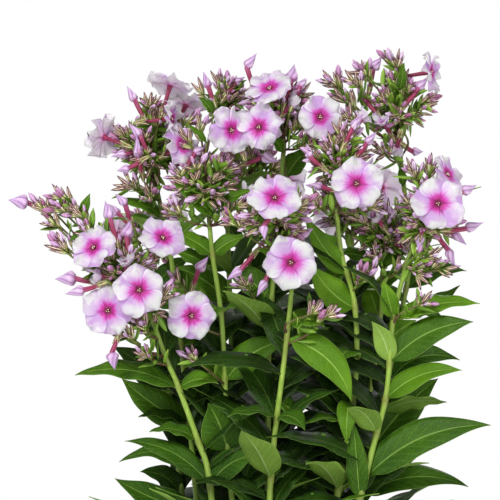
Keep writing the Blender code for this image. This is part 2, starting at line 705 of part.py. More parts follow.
def rule_leaf(layout, path, number, pair, side, height):
    """One leaf of a pair, smaller towards the stem's top, lifted or turned where it would meet another."""
    root = at_height(path, height)[0]
    key = (number, pair, side)
    start = vary("turn", number) * 180 + 90 * pair + 180 * side
    upper = min(1.0, max(0.0, (seen_height(path[-1]) - height) / 90))
    length = LEAF_LENGTH * (0.6 + 0.4 * upper) * (1 + 0.12 * vary("length", *key))
    width = LEAF_WIDTH * (0.62 + 0.38 * upper) * (1 + 0.15 * vary("width", *key))

    arch = 6 + 3 * vary("arch", *key)

    def blade(option, swell):
        turn, lift, share = option
        angle = math.radians(start + turn)
        climb = math.radians(26 + 10 * vary("climb", *key) + lift)
        out = Vector((math.cos(angle), math.sin(angle), 0.0))
        way = out * math.cos(climb) + Vector((0, 0, math.sin(climb)))
        face = Vector((0, 0, 1)) * math.cos(climb) - out * math.sin(climb)
        return leaf(root, root + way * (length * share * MM), width * share, arch, face, swell)

    options = [(turn, lift, share) for share in (1.0, 0.8) for lift in (0, 12, -14, 24, -28)
               for turn in shifts(12, 25, 40)]
    layout.place(node_name("stem", number), blade, options)


def place_buds(layout, paths):
    """Large closed buds with their calyces, and half-open flowers."""
    for kind, number, tip, neck, end, radius in BUDS:
        add_bud(layout, paths, kind, number, tip, neck, end, radius)
    for kind, number, mouth, end in FUNNELS:
        add_funnel(layout, paths, kind, number, mouth, end)


def bud_depth(paths, kind, number, across, height):
    if kind == "head":
        return front_depth(number, across, height)
    place = at_height(paths[kind, number], height)[0]
    return place.y / MM - 0.6 * abs(across - place.x / MM)


def add_bud(layout, paths, kind, number, tip, neck, end, radius):
    """A closed bud: side stalk, calyx, thin neck, then a turban that ends in a point."""
    deep = 0.35 if number < 11 else -0.35
    depths = [bud_depth(paths, kind, number, *spot) for spot in (tip, neck, end)]
    inner = depths[2] + deep * 18 if kind == "head" else depths[2]

    def large_bud(option, swell):
        shift, bend = option
        point = seen(*tip, depths[0] + shift)
        waist = seen(*neck, (depths[0] + inner) / 2 + shift)
        base = seen(*end, inner + shift)
        low = base - (waist - base).normalized() * (CLOSED_CALYX_LENGTH * MM)
        root = carrier_root(paths, kind, number, low)
        rim = waist + (point - waist).normalized() * (BUD_RIM * MM)
        turban = [(base, CALYX_RADIUS), (waist, NECK_RADIUS), (rim, radius), (point, 0.0)]
        return loft(side_stalk(root, low, bend) + turban, 4, swell)

    options = [(shift, bend) for shift in shifts(4, 8, 13) for bend in bends()[:7]]
    layout.place(node_name(kind, number), large_bud, options)


def add_funnel(layout, paths, kind, number, mouth, end):
    """A half-open flower: side stalk, calyx, tube, then lobes that still stand in a funnel."""
    outer = front_depth(number, *mouth)
    inner = front_depth(number, *end) + 5

    def half_open(option, swell):
        shift, bend = option
        lip = seen(*mouth, outer + shift)
        base = seen(*end, inner + shift)
        heading = (lip - base).normalized()
        low = base - heading * (CLOSED_CALYX_LENGTH * MM)
        root = carrier_root(paths, kind, number, low)
        neck = lip - heading * (FUNNEL_DEPTH * MM)
        funnel = [(base, CALYX_RADIUS), (neck, FUNNEL_NECK), (lip, FUNNEL_RADIUS)]
        return loft(side_stalk(root, low, bend) + funnel, 5, swell)

    options = [(shift, bend) for shift in shifts(4, 8, 13) for bend in bends()[:7]]
    layout.place(node_name(kind, number), half_open, options)


def branch_heading(index, count, number):
    """Spread over a ball, thin below."""
    up = 0.95 - 1.5 * (index + 0.5) / count
    angle = GOLDEN_ANGLE * index + number * 1.7
    flat = math.sqrt(1.0 - up * up)
    return Vector((flat * math.cos(angle), flat * math.sin(angle), up))


def place_cymes(layout, paths):
    """Side branches of each head, each with a small bunch of calyces and young buds."""
    for number, (middle, sizes, branches, buds) in HEADS.items():
        node = node_name("head", number)
        for index in range(branches):
            outward = branch_heading(index, branches, number)
            end = head_place(number, 0.55 + 0.08 * vary("reach", number, index), outward)
            root = carrier_root(paths, "head", number, end)
            place_bunch(layout, node, root, end, outward, buds, (number, index))


def place_bunch(layout, node, root, end, outward, buds, key):
    """A side branch that ends in a young bud, with more buds round its end."""
    length = SMALL_BUD_LENGTH * MM
    pull = Vector((0, 0, UPWARD_PULL))
    upright = (outward + pull).normalized()

    def branch(bend, swell):
        mouth = end + upright * (0.6 * length)
        bud = [(end, PEDICEL_RADIUS), (mouth, SMALL_BUD_RADIUS), (end + upright * length, 0.0)]
        return loft(side_stalk(root, end, bend) + bud, 4, swell)

    if layout.place(node, branch, bends(), True) is None:
        return
    side = outward.cross(Vector((0.2, 0.1, 1.0))).normalized()
    other = outward.cross(side)
    for bud in range(1, buds):
        spread = 0.95 + 0.25 * vary("spread", key, bud)
        angle = 2 * math.pi * bud / (buds - 1) + vary("start", key)
        heading = outward + (side * math.cos(angle) + other * math.sin(angle)) * spread
        heading = (heading + pull).normalized()
        start = end.lerp(root, (bud - 0.7) * SMALL_BUD_SPACING * MM / (end - root).length)
        reach = length * (1 + 0.18 * vary("bud", key, bud))

        def small_bud(option, swell):
            way = (heading + option / (16 * MM)).normalized()
            mouth = start + way * (0.55 * reach)
            rings = [(start, PEDICEL_ROOT), (mouth, SMALL_BUD_RADIUS), (start + way * reach, 0.0)]
            return loft(rings, 3, swell)

        layout.place(node, small_bud, bends()[:13])


def place_clusters(layout, paths):
    """Short side sprigs, each with a bunch of young buds."""
    for index, (kind, number, middle, buds) in enumerate(CLUSTERS):
        node = node_name(kind, number)
        end = seen(*middle)
        root = carrier_root(paths, kind, number, end)
        place_bunch(layout, node, root, end, (end - root).normalized(), buds, ("sprig", index))


def arrange():
    """All the plant's solids by node, and the paths of its stems."""
    layout = Layout()
    ends = [Vector((0.0, 0.0, height)) * MM for height in (0.0, POT_HEIGHT + FIT_GAP)]
    layout.guard("pot", loft([(end, POT_TOP_RADIUS + RIM_PROUD + FIT_GAP) for end in ends], POT_STEPS))
    paths = {}
    place_stems(layout, paths)
    place_stalks(layout, paths)
    place_flowers(layout, paths)
    for number, height, across, up, width, arch, reach, turn in SEEN_LEAVES:
        place_leaf(layout, paths, number, height, (across, up), width, arch, reach, turn)
    place_buds(layout, paths)
    place_clusters(layout, paths)
    place_cymes(layout, paths)
    for number in STEMS:
        place_pairs(layout, paths, number)
    return layout, paths


def new_collection(name):
    group = bpy.data.collections.new(name)
    bpy.context.scene.collection.children.link(group)
    return group


def material(name, colour, roughness):
    finish = bpy.data.materials.new(name)
    finish.use_nodes = True
    shader = finish.node_tree.nodes["Principled BSDF"]
    shader.inputs["Base Color"].default_value = (*colour, 1.0)
    shader.inputs["Roughness"].default_value = roughness
    shader.inputs["Metallic"].default_value = 0.0
    return finish


def mesh_object(name, solid, group):
    mesh = bpy.data.meshes.new(name)
    mesh.from_pydata(solid[0], [], solid[1])
    shape = bmesh.new()
    shape.from_mesh(mesh)
    bmesh.ops.recalc_face_normals(shape, faces=shape.faces)
    shape.to_mesh(mesh)
    shape.free()
    piece = bpy.data.objects.new(name, mesh)
    group.objects.link(piece)
    return piece


def evaluated_mesh(piece):
    bpy.context.view_layer.update()
    return bpy.data.meshes.new_from_object(piece.evaluated_get(bpy.context.evaluated_depsgraph_get()))


def separate_shells(shape):
    """The faces of each shell that holds together by its edges, the smallest shell first."""
    left = set(shape.faces)
    shells = []
    while left:
        shell = {left.pop()}
        front = list(shell)
        while front:
            for edge in front.pop().edges:
                for face in edge.link_faces:
                    if face in left:
                        left.discard(face)
                        shell.add(face)
                        front.append(face)
        shells.append(shell)
    return sorted(shells, key=len)


def keep_main_body(mesh):
    """Fills hollows that joining sealed and drops scraps: only the largest shell stays."""
    shape = bmesh.new()
    shape.from_mesh(mesh)
    loose = [face for shell in separate_shells(shape)[:-1] for face in shell]
    bmesh.ops.delete(shape, geom=loose, context="FACES")
    shape.to_mesh(mesh)
    shape.free()


def slim(mesh, flat):
    """Closes up the tiny edges that joining leaves, as far as it stays one closed, uncrossed body."""
    for size in TINY_EDGES:
        shape = bmesh.new()
        shape.from_mesh(mesh)
        if flat:
            bmesh.ops.dissolve_limit(shape, angle_limit=flat, verts=shape.verts, edges=shape.edges)
        bmesh.ops.triangulate(shape, faces=shape.faces)
        bmesh.ops.dissolve_degenerate(shape, dist=size * MM, edges=shape.edges)
        bmesh.ops.triangulate(shape, faces=shape.faces)
        shape.verts.index_update()
        points = [v.co.copy() for v in shape.verts]
        faces = [[v.index for v in f.verts] for f in shape.faces]
        closed = all(len(edge.link_faces) == 2 for edge in shape.edges)
        if closed and len(separate_shells(shape)) == 1 and not crosses_itself(points, faces):
            shape.to_mesh(mesh)
            shape.free()
            return
        shape.free()


def fuse(name, solids, finish, group):
    """One body from a stem or stalk and everything that grows on it."""
    body = mesh_object(name, solids[0], group)
    if len(solids) > 1:
        repeats = new_collection(name + "_repeats")
        for i, solid in enumerate(solids[1:]):
            mesh_object("%s_%d" % (name, i), solid, repeats)
        union = body.modifiers.new("union", "BOOLEAN")
        union.operation = "UNION"
        union.operand_type = "COLLECTION"
        union.collection = repeats
        union.solver = "EXACT"
        joined = evaluated_mesh(body)
        body.modifiers.remove(union)
        body.data = joined
        for piece in list(repeats.objects):
            bpy.data.objects.remove(piece)
        bpy.data.collections.remove(repeats)
        keep_main_body(joined)
        slim(joined, math.radians(FLAT_ANGLE) if name.startswith("flower_head") else 0.0)
    body.data.materials.clear()
    body.data.materials.append(finish)
    return body


def turned(name, profile, finish, group):
    """A profile of (radius, height) turned about Z, as a plain mesh."""
    mesh = bpy.data.meshes.new(name)
    points = [(radius * MM, 0.0, height * MM) for radius, height in profile]
    mesh.from_pydata(points, [(i, i + 1) for i in range(len(points) - 1)], [])
    piece = bpy.data.objects.new(name, mesh)
    group.objects.link(piece)
    screw = piece.modifiers.new("turn", "SCREW")
    screw.steps = POT_STEPS
    screw.render_steps = POT_STEPS
    screw.use_merge_vertices = True
    screw.merge_threshold = 0.01 * MM
    screw.use_smooth_shade = False
    piece.data = evaluated_mesh(piece)
    piece.modifiers.remove(screw)
    piece.data.materials.append(finish)
    return piece


def pot_inner_radius(height):
    share = (height - POT_FLOOR) / (POT_HEIGHT - POT_FLOOR)
    return POT_BASE_RADIUS - POT_WALL + (POT_TOP_RADIUS - POT_BASE_RADIUS) * share


def make_pot(group, cutters):
    """A tapered pot with a rim band, an open top and round drainage holes in its floor."""
    rim_radius = POT_TOP_RADIUS + RIM_PROUD
    under_rim = POT_HEIGHT - RIM_HEIGHT
    below = POT_BASE_RADIUS + (POT_TOP_RADIUS - POT_BASE_RADIUS) * under_rim / POT_HEIGHT
    profile = [(0, POT_FLOOR), (pot_inner_radius(POT_FLOOR), POT_FLOOR),
               (pot_inner_radius(POT_HEIGHT), POT_HEIGHT), (rim_radius, POT_HEIGHT),
               (rim_radius + RIM_CROWN, POT_HEIGHT - POT_EDGE), (rim_radius, under_rim),
               (below, under_rim - POT_EDGE), (POT_BASE_RADIUS + POT_EDGE, POT_EDGE),
               (POT_BASE_RADIUS, 0), (0, 0)]
    pot = turned("pot", profile, material("pot_plastic", (0.075, 0.08, 0.085), 0.45), group)
    for k in range(DRAIN_COUNT):
        angle = 2 * math.pi * (k + 0.5) / DRAIN_COUNT
        place = Vector((math.cos(angle), math.sin(angle), 0.0)) * (DRAIN_CIRCLE * MM)
        bpy.ops.mesh.primitive_cylinder_add(vertices=DRAIN_SIDES, radius=DRAIN_RADIUS * MM,
                                            depth=4 * POT_FLOOR * MM, location=place)
        cutter = bpy.context.active_object
        cutter.name = "drain_%d" % k
        for old in list(cutter.users_collection):
            old.objects.unlink(cutter)
        cutters.objects.link(cutter)
        cut_with(pot, cutter)
    return pot


def cut_with(piece, cutter):
    cutter.hide_render = True
    cutter.display_type = "WIRE"
    cut = piece.modifiers.new("cut", "BOOLEAN")
    cut.operation = "DIFFERENCE"
    cut.object = cutter
    cut.solver = "EXACT"


def make_soil(paths, group, cutters):
    """Soil that fills the pot, domed a little, with a plain hole for each stem."""
    gap = FIT_GAP
    low = POT_FLOOR + gap
    rim = SOIL_TOP - SOIL_EDGE_DROP
    edge = pot_inner_radius(rim) - gap
    slope = ((0, 1.0), (0.45, 0.6), (0.8, 0.1))
    dome = [(share * edge, SOIL_TOP + rise * SOIL_DOME) for share, rise in slope]
    profile = dome + [(edge, rim), (pot_inner_radius(low) - gap, low), (0, low)]
    soil = turned("soil", profile, material("potting_soil", (0.045, 0.03, 0.02), 0.95), group)
    for number in STEMS:
        path = paths["stem", number]
        start = path[0] - (path[1] - path[0]).normalized() * (gap * MM)
        run = tube([start, path[1]], [STEM_RADIUS + gap] * 2, STEM_SIDES)
        cut_with(soil, mesh_object("stem_hole_%02d" % number, run, cutters))
    return soil


def main():
    for old in list(bpy.data.objects):
        bpy.data.objects.remove(old)
    plant = new_collection("phlox_plant")
    cutters = new_collection("cutters")
    layout, paths = arrange()
    make_pot(plant, cutters)
    make_soil(paths, plant, cutters)
    looks = {
        "leafy": ((0.09, 0.22, 0.035), 0.5),
        "flower": ((0.30, 0.24, 0.20), 0.6),
        "open": ((0.82, 0.66, 0.85), 0.45),
    }
    for node, solids in layout.solids.items():
        colour, roughness = looks[node.split("_")[0]]
        fuse(node, solids, material(node + "_finish", colour, roughness), plant)
    print("left out, because they fit nowhere:", layout.dropped)


main()
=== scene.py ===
# The looks of a potted garden phlox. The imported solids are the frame: each piece below stands for one
# of them, in the same place, and adds what a solid leaves out, such as veins, folds, teeth and crumbs.
# Places are in millimetres, as the part's source gives them, and mm turns them into metres.

import functools
import json
import math
import random

import bpy
import numpy as np
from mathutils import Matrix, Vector

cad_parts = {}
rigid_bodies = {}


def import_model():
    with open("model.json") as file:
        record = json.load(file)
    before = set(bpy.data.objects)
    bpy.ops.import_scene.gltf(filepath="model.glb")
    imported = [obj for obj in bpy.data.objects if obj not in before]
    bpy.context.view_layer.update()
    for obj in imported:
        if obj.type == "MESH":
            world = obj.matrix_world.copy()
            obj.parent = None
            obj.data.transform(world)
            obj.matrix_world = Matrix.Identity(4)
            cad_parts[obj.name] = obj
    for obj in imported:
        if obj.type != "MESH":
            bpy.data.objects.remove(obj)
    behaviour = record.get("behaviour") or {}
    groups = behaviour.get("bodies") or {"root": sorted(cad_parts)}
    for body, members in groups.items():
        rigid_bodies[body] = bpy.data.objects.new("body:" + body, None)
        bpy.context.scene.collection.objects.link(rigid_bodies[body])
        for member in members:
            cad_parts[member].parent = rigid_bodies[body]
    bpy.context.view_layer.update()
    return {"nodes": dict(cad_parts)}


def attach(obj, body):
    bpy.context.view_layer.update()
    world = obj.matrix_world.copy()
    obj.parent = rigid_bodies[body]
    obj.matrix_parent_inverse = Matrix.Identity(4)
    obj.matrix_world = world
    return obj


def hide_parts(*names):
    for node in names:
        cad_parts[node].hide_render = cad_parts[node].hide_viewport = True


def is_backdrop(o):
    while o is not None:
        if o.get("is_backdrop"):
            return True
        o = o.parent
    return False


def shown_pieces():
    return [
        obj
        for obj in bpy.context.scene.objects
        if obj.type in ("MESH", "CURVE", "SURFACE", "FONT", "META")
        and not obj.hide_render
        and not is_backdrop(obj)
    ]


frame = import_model()
print("frame loaded:", len(frame["nodes"]), "solids")

mm = 0.001
goldenAngle = math.pi * (3.0 - math.sqrt(5.0))

# The photo spans 300 mm at the plant's middle and ends 262 mm above the ground. Its camera stands this
# far in front of the plant's middle and this high, level with the middle of the photo, and heights
# that are seen in it count from its lower edge.
photo = {"distance": 1800.0, "eye": 412.0, "middle": 150.0, "lens": 216.0}

# Soft studio light: lamps with their power in watts, their width and place in metres, a white room
studio = {"wall": 1.0, "roomLight": 0.40, "key": 42.0, "keySize": 0.6, "keyPlace": (-0.9, -1.9, 1.9),
          "fill": 10.0, "fillSize": 1.2, "fillPlace": (0.8, -1.7, 0.25),
          "back": 13.0, "backSize": 1.2, "backPlace": (0.6, 1.8, 1.5), "litPlace": (0.0, 0.0, 0.36),
          "floor": 3000.0}


def newObject(name, data):
    thing = bpy.data.objects.new(name, data)
    bpy.context.scene.collection.objects.link(thing)
    return thing


def addLamp(name, place, size, power):
    light = bpy.data.lights.new(name, "AREA")
    light.shape = "DISK"
    light.size = size
    light.energy = power
    lamp = newObject(name, light)
    lamp.location = place
    lamp.visible_camera = False
    lamp.rotation_euler = (Vector(studio["litPlace"]) - lamp.location).to_track_quat("-Z", "Y").to_euler()


def setUpStudio():
    scene = bpy.context.scene
    view = bpy.data.cameras.new("photoView")
    view.lens = photo["lens"]
    view.sensor_width = 36.0
    view.clip_start = 0.05
    view.clip_end = 30.0
    camera = newObject("photoView", view)
    camera.location = (0.0, -photo["distance"] * mm, photo["eye"] * mm)
    camera.rotation_euler = (math.pi / 2, 0.0, 0.0)
    scene.camera = camera
    scene.view_settings.view_transform = "Standard"
    scene.view_settings.look = "None"
    world = bpy.data.worlds.new("whiteRoom")
    world.use_nodes = True
    add = functools.partial(addNode, world.node_tree)
    # The wall behind is lit to plain white, brighter than the light that the room throws on the plant
    inView = add("LightPath", out="Is Camera Ray")
    glow = add("Math MULTIPLY_ADD", inView, studio["wall"] - studio["roomLight"], studio["roomLight"])
    feed(world.node_tree.nodes["Background"], {"Color": (1.0, 1.0, 1.0, 1.0), "Strength": glow})
    scene.world = world
    for name in ("key", "fill", "back"):
        addLamp(name + "Light", studio[name + "Place"], studio[name + "Size"], studio[name])


def linear(code):
    # sRGB hex to linear RGBA
    parts = [int(code[i:i + 2], 16) / 255 for i in (1, 3, 5)]
    return (*[c / 12.92 if c <= 0.04045 else ((c + 0.055) / 1.055) ** 2.4 for c in parts], 1.0)


def feed(node, inputs):
    # Sets inputs by name or number: to the sockets that feed them, to values, or to sRGB hex colours
    for key, value in inputs.items():
        if isinstance(value, bpy.types.NodeSocket):
            node.id_data.links.new(value, node.inputs[key])
        else:
            node.inputs[key].default_value = linear(value) if str(value).startswith("#") else value


def addNode(tree, kind, *inputs, out=0, stops={}, **settings):
    # Adds a node and returns one of its outputs. A kind with no family's name is a shader node, and a
    # second word is its operation. Its inputs come in order, or in a dictionary, and stops are a
    # colour ramp's places and colours.
    kind, *operation = kind.split()
    node = tree.nodes.new(kind if "Node" in kind else "ShaderNode" + kind)
    for name, value in (settings | {"operation": word for word in operation}).items():
        setattr(node, name, value)
    feed(node, inputs[0] if inputs and isinstance(inputs[0], dict) else dict(enumerate(inputs)))
    while stops and len(node.color_ramp.elements) < len(stops):
        node.color_ramp.elements.new(0.5)
    for place, (position, colour) in enumerate(stops.items()):
        node.color_ramp.elements[place].position = position
        node.color_ramp.elements[place].color = linear(colour)
    return node.outputs[out]


def newFinish(name, roughness=0.5, ior=1.45):
    # A material, its shader, and the function above for its own tree
    finish = bpy.data.materials.new(name)
    finish.use_nodes = True
    shader = finish.node_tree.nodes["Principled BSDF"]
    feed(shader, {"Roughness": roughness, "IOR": ior})
    return finish, shader, functools.partial(addNode, finish.node_tree)


def read(add, *names):
    # What a finish reads of its surface: its place in the object, how far it is across and along its
    # own UV map, how far out from a midrib, a lobe's middle or a fold (0 to 1), and its attributes
    kinds = {"place": ("TexCoord", "Object"), "across": ("SeparateXYZ", "X"), "along": ("SeparateXYZ", "Y")}
    made = []
    for name in names:
        if name == "out":
            offset = add("Math MULTIPLY_ADD", read(add, "across"), 2.0, -1.0)
            made.append(add("Math ABSOLUTE", offset))
        elif name in kinds:
            kind, out = kinds[name]
            made.append(add(kind, *[add("TexCoord", out="UV")] * (name != "place"), out=out))
        else:
            made.append(add("Attribute", out="Fac", attribute_name=name))
    return made if len(made) > 1 else made[0]


def patches(place, size, detail=3.0):
    # The inputs of a noise whose patches are about size mm wide
    return {"Vector": place, "Scale": 1.0 / (size * mm), "Detail": detail}


# A Map Range node with these gives 0 below its low value, 1 above its high one and a soft step
# between, or the other way round when low is above high
softStep = {"interpolation_type": "SMOOTHSTEP"}


def tinted(add, colour, *layers):
    # Colours laid over a colour one by one, each with its mask and strength. A mask of three is a
    # value with the low and high ends of its soft step.
    for mask, strength, tint in layers:
        mask = add("MapRange", *mask, **softStep) if isinstance(mask, tuple) else mask
        share = add("Math MULTIPLY", mask, strength)
        colour = add("Mix", {0: share, 6: colour, 7: tint}, out=2, data_type="RGBA")
    return colour


def dressed(finish, shader, add, values, relief=None, depth=0.0):
    # Gives the shader its values, and a bump this many mm deep where there is a relief
    if relief is not None:
        values["Normal"] = add("Bump", {"Height": relief, "Distance": depth * mm, "Strength": 1.0})
    feed(shader, values)
    return finish


# Light passes through a living petal that is a third of a millimetre thick
letsLightThrough = {"Subsurface Weight": 0.8, "Subsurface Radius": (1.0, 0.85, 1.0),
                    "Subsurface Scale": 2.0 * mm}

# Phlox leaf: a waxy living leaf, satin green with a pale midrib, side veins that curve forward, and a
# thin light edge. The veins are sunken above and stand out below, where the leaf is paler and duller.
leafSides = {
    "leafUpperSide": {"greensWithPaintedShade": {0.0: "#0E2404", 0.25: "#244807", 0.5: "#3C6309", 0.75: "#58840F",
                                 1.0: "#86B028"},
                      "net": "#8DB45A", "vein": "#7FB040", "rib": "#A3C85C", "rough": 0.38, "relief": -1.0},
    "leafUnderside": {"greensWithPaintedShade": {0.0: "#4C7016", 0.5: "#789C36", 1.0: "#9FC253"},
                      "net": "#C3D9A0", "vein": "#B7D38C", "rib": "#C6DC9A", "rough": 0.5, "relief": 1.0},
}


def leafFinish(name):
    side = leafSides[name]
    finish, shader, add = newFinish(name)
    place, along, out, tone = read(add, "place", "along", "out", "tone")
    patch = add("TexNoise", patches(place, 22.0))
    patch = add("Math MULTIPLY_ADD", patch, 0.5, -0.25)
    # The tone picks the green: its dark end is painted shade on leaves deep in the plant, its light end is painted
    # light on high leaves that face the lamps, and between them the tone also differs at random
    colour = add("ValToRGB", add("Math ADD", tone, patch, use_clamp=True), stops=side["greensWithPaintedShade"])
    # Side veins, about 7 mm apart: each a thin line that leaves the midrib and bends to the tip
    run = add("Math SUBTRACT", add("Math MULTIPLY", along, leafLook["veins"]),
              add("Math MULTIPLY", out, leafLook["veinSlant"]))
    beside = add("Math SUBTRACT", add("Math FRACT", run), 0.5)
    line = add("MapRange", add("Math ABSOLUTE", beside), 0.40, 0.5, **softStep)
    veins = add("Math MULTIPLY", line, add("MapRange", out, 1.0, 0.75, **softStep))
    # Net veins about 1.5 mm apart
    cells = add("TexVoronoi", {"Vector": place, "Scale": 1.0 / (1.5 * mm)}, out="Distance",
                feature="DISTANCE_TO_EDGE")
    net = add("MapRange", cells, 0.12, 0.0, **softStep)
    # Midrib, veins and edge fade on the leaves painted dark as shade deep in the plant
    lit = add("Math MULTIPLY_ADD", tone, 1.5, 0.1, use_clamp=True)
    veins = add("Math MULTIPLY", veins, lit)
    rib = add("Math MULTIPLY", add("MapRange", out, 0.085, 0.03, **softStep), lit)
    edge = add("Math MULTIPLY", add("MapRange", out, 0.955, 0.99, **softStep), lit)
    colour = tinted(add, colour, (net, 0.12, side["net"]), (veins, 0.3, side["vein"]), (rib, 0.6, side["rib"]),
                    (edge, 0.4, "#A5C765"))
    wax = add("TexNoise", patches(place, 6.0))
    height = add("Math ADD", add("Math MULTIPLY", veins, side["relief"]),
                 add("Math MULTIPLY", net, 0.25 * side["relief"]))
    rough = add("Math MULTIPLY_ADD", wax, 0.16, side["rough"])
    return dressed(finish, shader, add, {"Base Color": colour, "Roughness": rough,
                                         "Specular IOR Level": 0.17}, height, 0.18)


# Phlox stem: a fleshy green stalk, satin yellow-green with fine ribs and reddish brown at the joints
def stemFinish():
    finish, shader, add = newFinish("stemSkin", 0.42)
    place, tone, joint = read(add, "place", "tone", "blush")
    grain = add("Mapping", {"Vector": place, "Scale": (1.0, 1.0, 0.08)})
    streak = add("TexNoise", patches(grain, 0.9))
    colour = add("ValToRGB", streak, stops={0.25: "#82A636", 0.5: "#99BA48", 0.75: "#B2CC60"})
    patch = add("TexNoise", patches(place, 30.0))
    colour = tinted(add, colour, ((patch, 0.5, 0.75), 1.0, "#7E8A3E"),
                    # Where the tone is low the stem turns dark green: painted shade on stems deep in the plant and
                    # near the soil, and the darker top where it meets its head's stalk
                    (add("Math SUBTRACT", 1.0, tone, use_clamp=True), 1.0, "#55702F"),
                    (joint, 0.4, "#75502E"))
    return dressed(finish, shader, add, {"Base Color": colour}, streak, 0.12)


# Branches of the flower head: thin wiry green stalks, flushed dark brown-purple, matt with down
def branchFinish():
    finish, shader, add = newFinish("branchSkin", 0.6)
    place, flush = read(add, "place", "blush")
    patch = add("TexNoise", patches(place, 5.0))
    flush = add("Math MULTIPLY_ADD", flush, 0.7, 0.2)
    flush = add("Math ADD", add("Math MULTIPLY_ADD", patch, 0.9, -0.45), flush, use_clamp=True)
    colour = add("ValToRGB", flush, stops={0.0: "#7F9E3E", 0.45: "#707838", 0.75: "#654236", 1.0: "#552A36"})
    down = add("TexNoise", patches(place, 0.6))
    return dressed(finish, shader, add, {"Base Color": colour}, down, 0.1)


# Calyx: five papery sepals, green at the base, brown-purple ribs and teeth with cream margins
def calyxFinish():
    finish, shader, add = newFinish("calyxSepals", 0.55)
    place, along, seam = read(add, "place", "along", "blush")
    colour = add("ValToRGB", along, stops={0.0: "#7A9C38", 0.3: "#8C8444", 0.65: "#8A4A52", 1.0: "#642C40"})
    fleck = add("TexNoise", patches(place, 1.6))
    colour = tinted(add, colour, ((seam, 0.55, 0.9), 0.85, "#E6E0B8"),
                    ((fleck, 0.52, 0.68), 0.35, "#8FA24C"))
    paper = add("TexNoise", patches(place, 0.7))
    return dressed(finish, shader, add, {"Base Color": colour}, paper, 0.1)


# Young bud with its calyx: mauve petals wrapped in a spiral, cream lines, in a brown-purple calyx.
# Its blush says which part a point is on: 0 calyx, 1 petals, 2 a green bract.
def youngBudFinish():
    finish, shader, add = newFinish("youngBud", 0.5)
    along, out, part, tone = read(add, "along", "out", "blush", "tone")
    fresh = add("ValToRGB", along, stops={0.0: "#86AA3E", 0.4: "#9CB24C", 0.65: "#967A52", 0.85: "#7E3C56",
                                          1.0: "#682840"})
    ripe = add("ValToRGB", along, stops={0.0: "#83A23A", 0.3: "#8E8246", 0.6: "#803F58", 1.0: "#602340"})
    cream = add("Math MULTIPLY", add("MapRange", out, 0.55, 0.8, **softStep),
                add("MapRange", along, 0.1, 0.35, **softStep))
    sepals = tinted(add, fresh, ((tone, 0.3, 0.7), 1.0, ripe), (cream, 0.9, "#FCF2D0"))
    mauve = add("ValToRGB", tone, stops={0.0: "#B8749A", 0.35: "#CF98C6", 0.7: "#E2BCE6", 1.0: "#F2DCF6"})
    mauve = tinted(add, mauve, ((out, 0.5, 0.95), 0.6, "#985A88"))
    leafy = add("Math ADD", add("Math MULTIPLY", tone, 0.7),
                add("Math MULTIPLY", along, 0.3))
    leafy = add("ValToRGB", leafy, stops={0.0: "#4A7418", 0.5: "#6F9C24", 1.0: "#A0C448"})
    leafy = tinted(add, leafy, ((out, 0.3, 0.0), 0.5, "#A9C270"))
    colour = tinted(add, sepals, ((part, 0.4, 0.6), 1.0, mauve),
                    ((part, 1.4, 1.6), 1.0, leafy))
    return dressed(finish, shader, add, {"Base Color": colour})


# Closed bud: furled petals, soft satin lilac, darker in the spiral folds and pinker at the neck
def budPetalFinish():
    finish, shader, add = newFinish("furledPetals", 0.46)
    place, along, tone, fold = read(add, "place", "along", "tone", "blush")
    colour = add("ValToRGB", along, stops={0.0: "#BA5F9C", 0.1: "#D69FD0", 0.4: "#E2BEE7", 0.8: "#CFA6DD",
                                           1.0: "#A97EC2"})
    colour = tinted(add, colour, (tone, 0.6, "#F1DFF3"),
                    (fold, 0.8, "#9C62A8"))
    soft = add("TexNoise", patches(place, 1.2))
    return dressed(finish, shader, add, {"Base Color": colour, "Sheen Weight": 0.15}, soft, 0.08)


# Flower tube: a thin fleshy tube, crimson with darker lengthwise lines and a dark magenta throat
def tubeFinish():
    finish, shader, add = newFinish("flowerTube", 0.45)
    along, out, throat = read(add, "along", "out", "blush")
    colour = add("ValToRGB", along, stops={0.0: "#8A3450", 0.5: "#A8385F", 0.85: "#B44C78", 1.0: "#C877A4"})
    colour = tinted(add, colour, ((out, 0.35, 0.85), 0.7, "#66182F"), ((throat, 0.4, 0.9), 1.0, "#860C50"))
    return dressed(finish, shader, add, {"Base Color": colour})


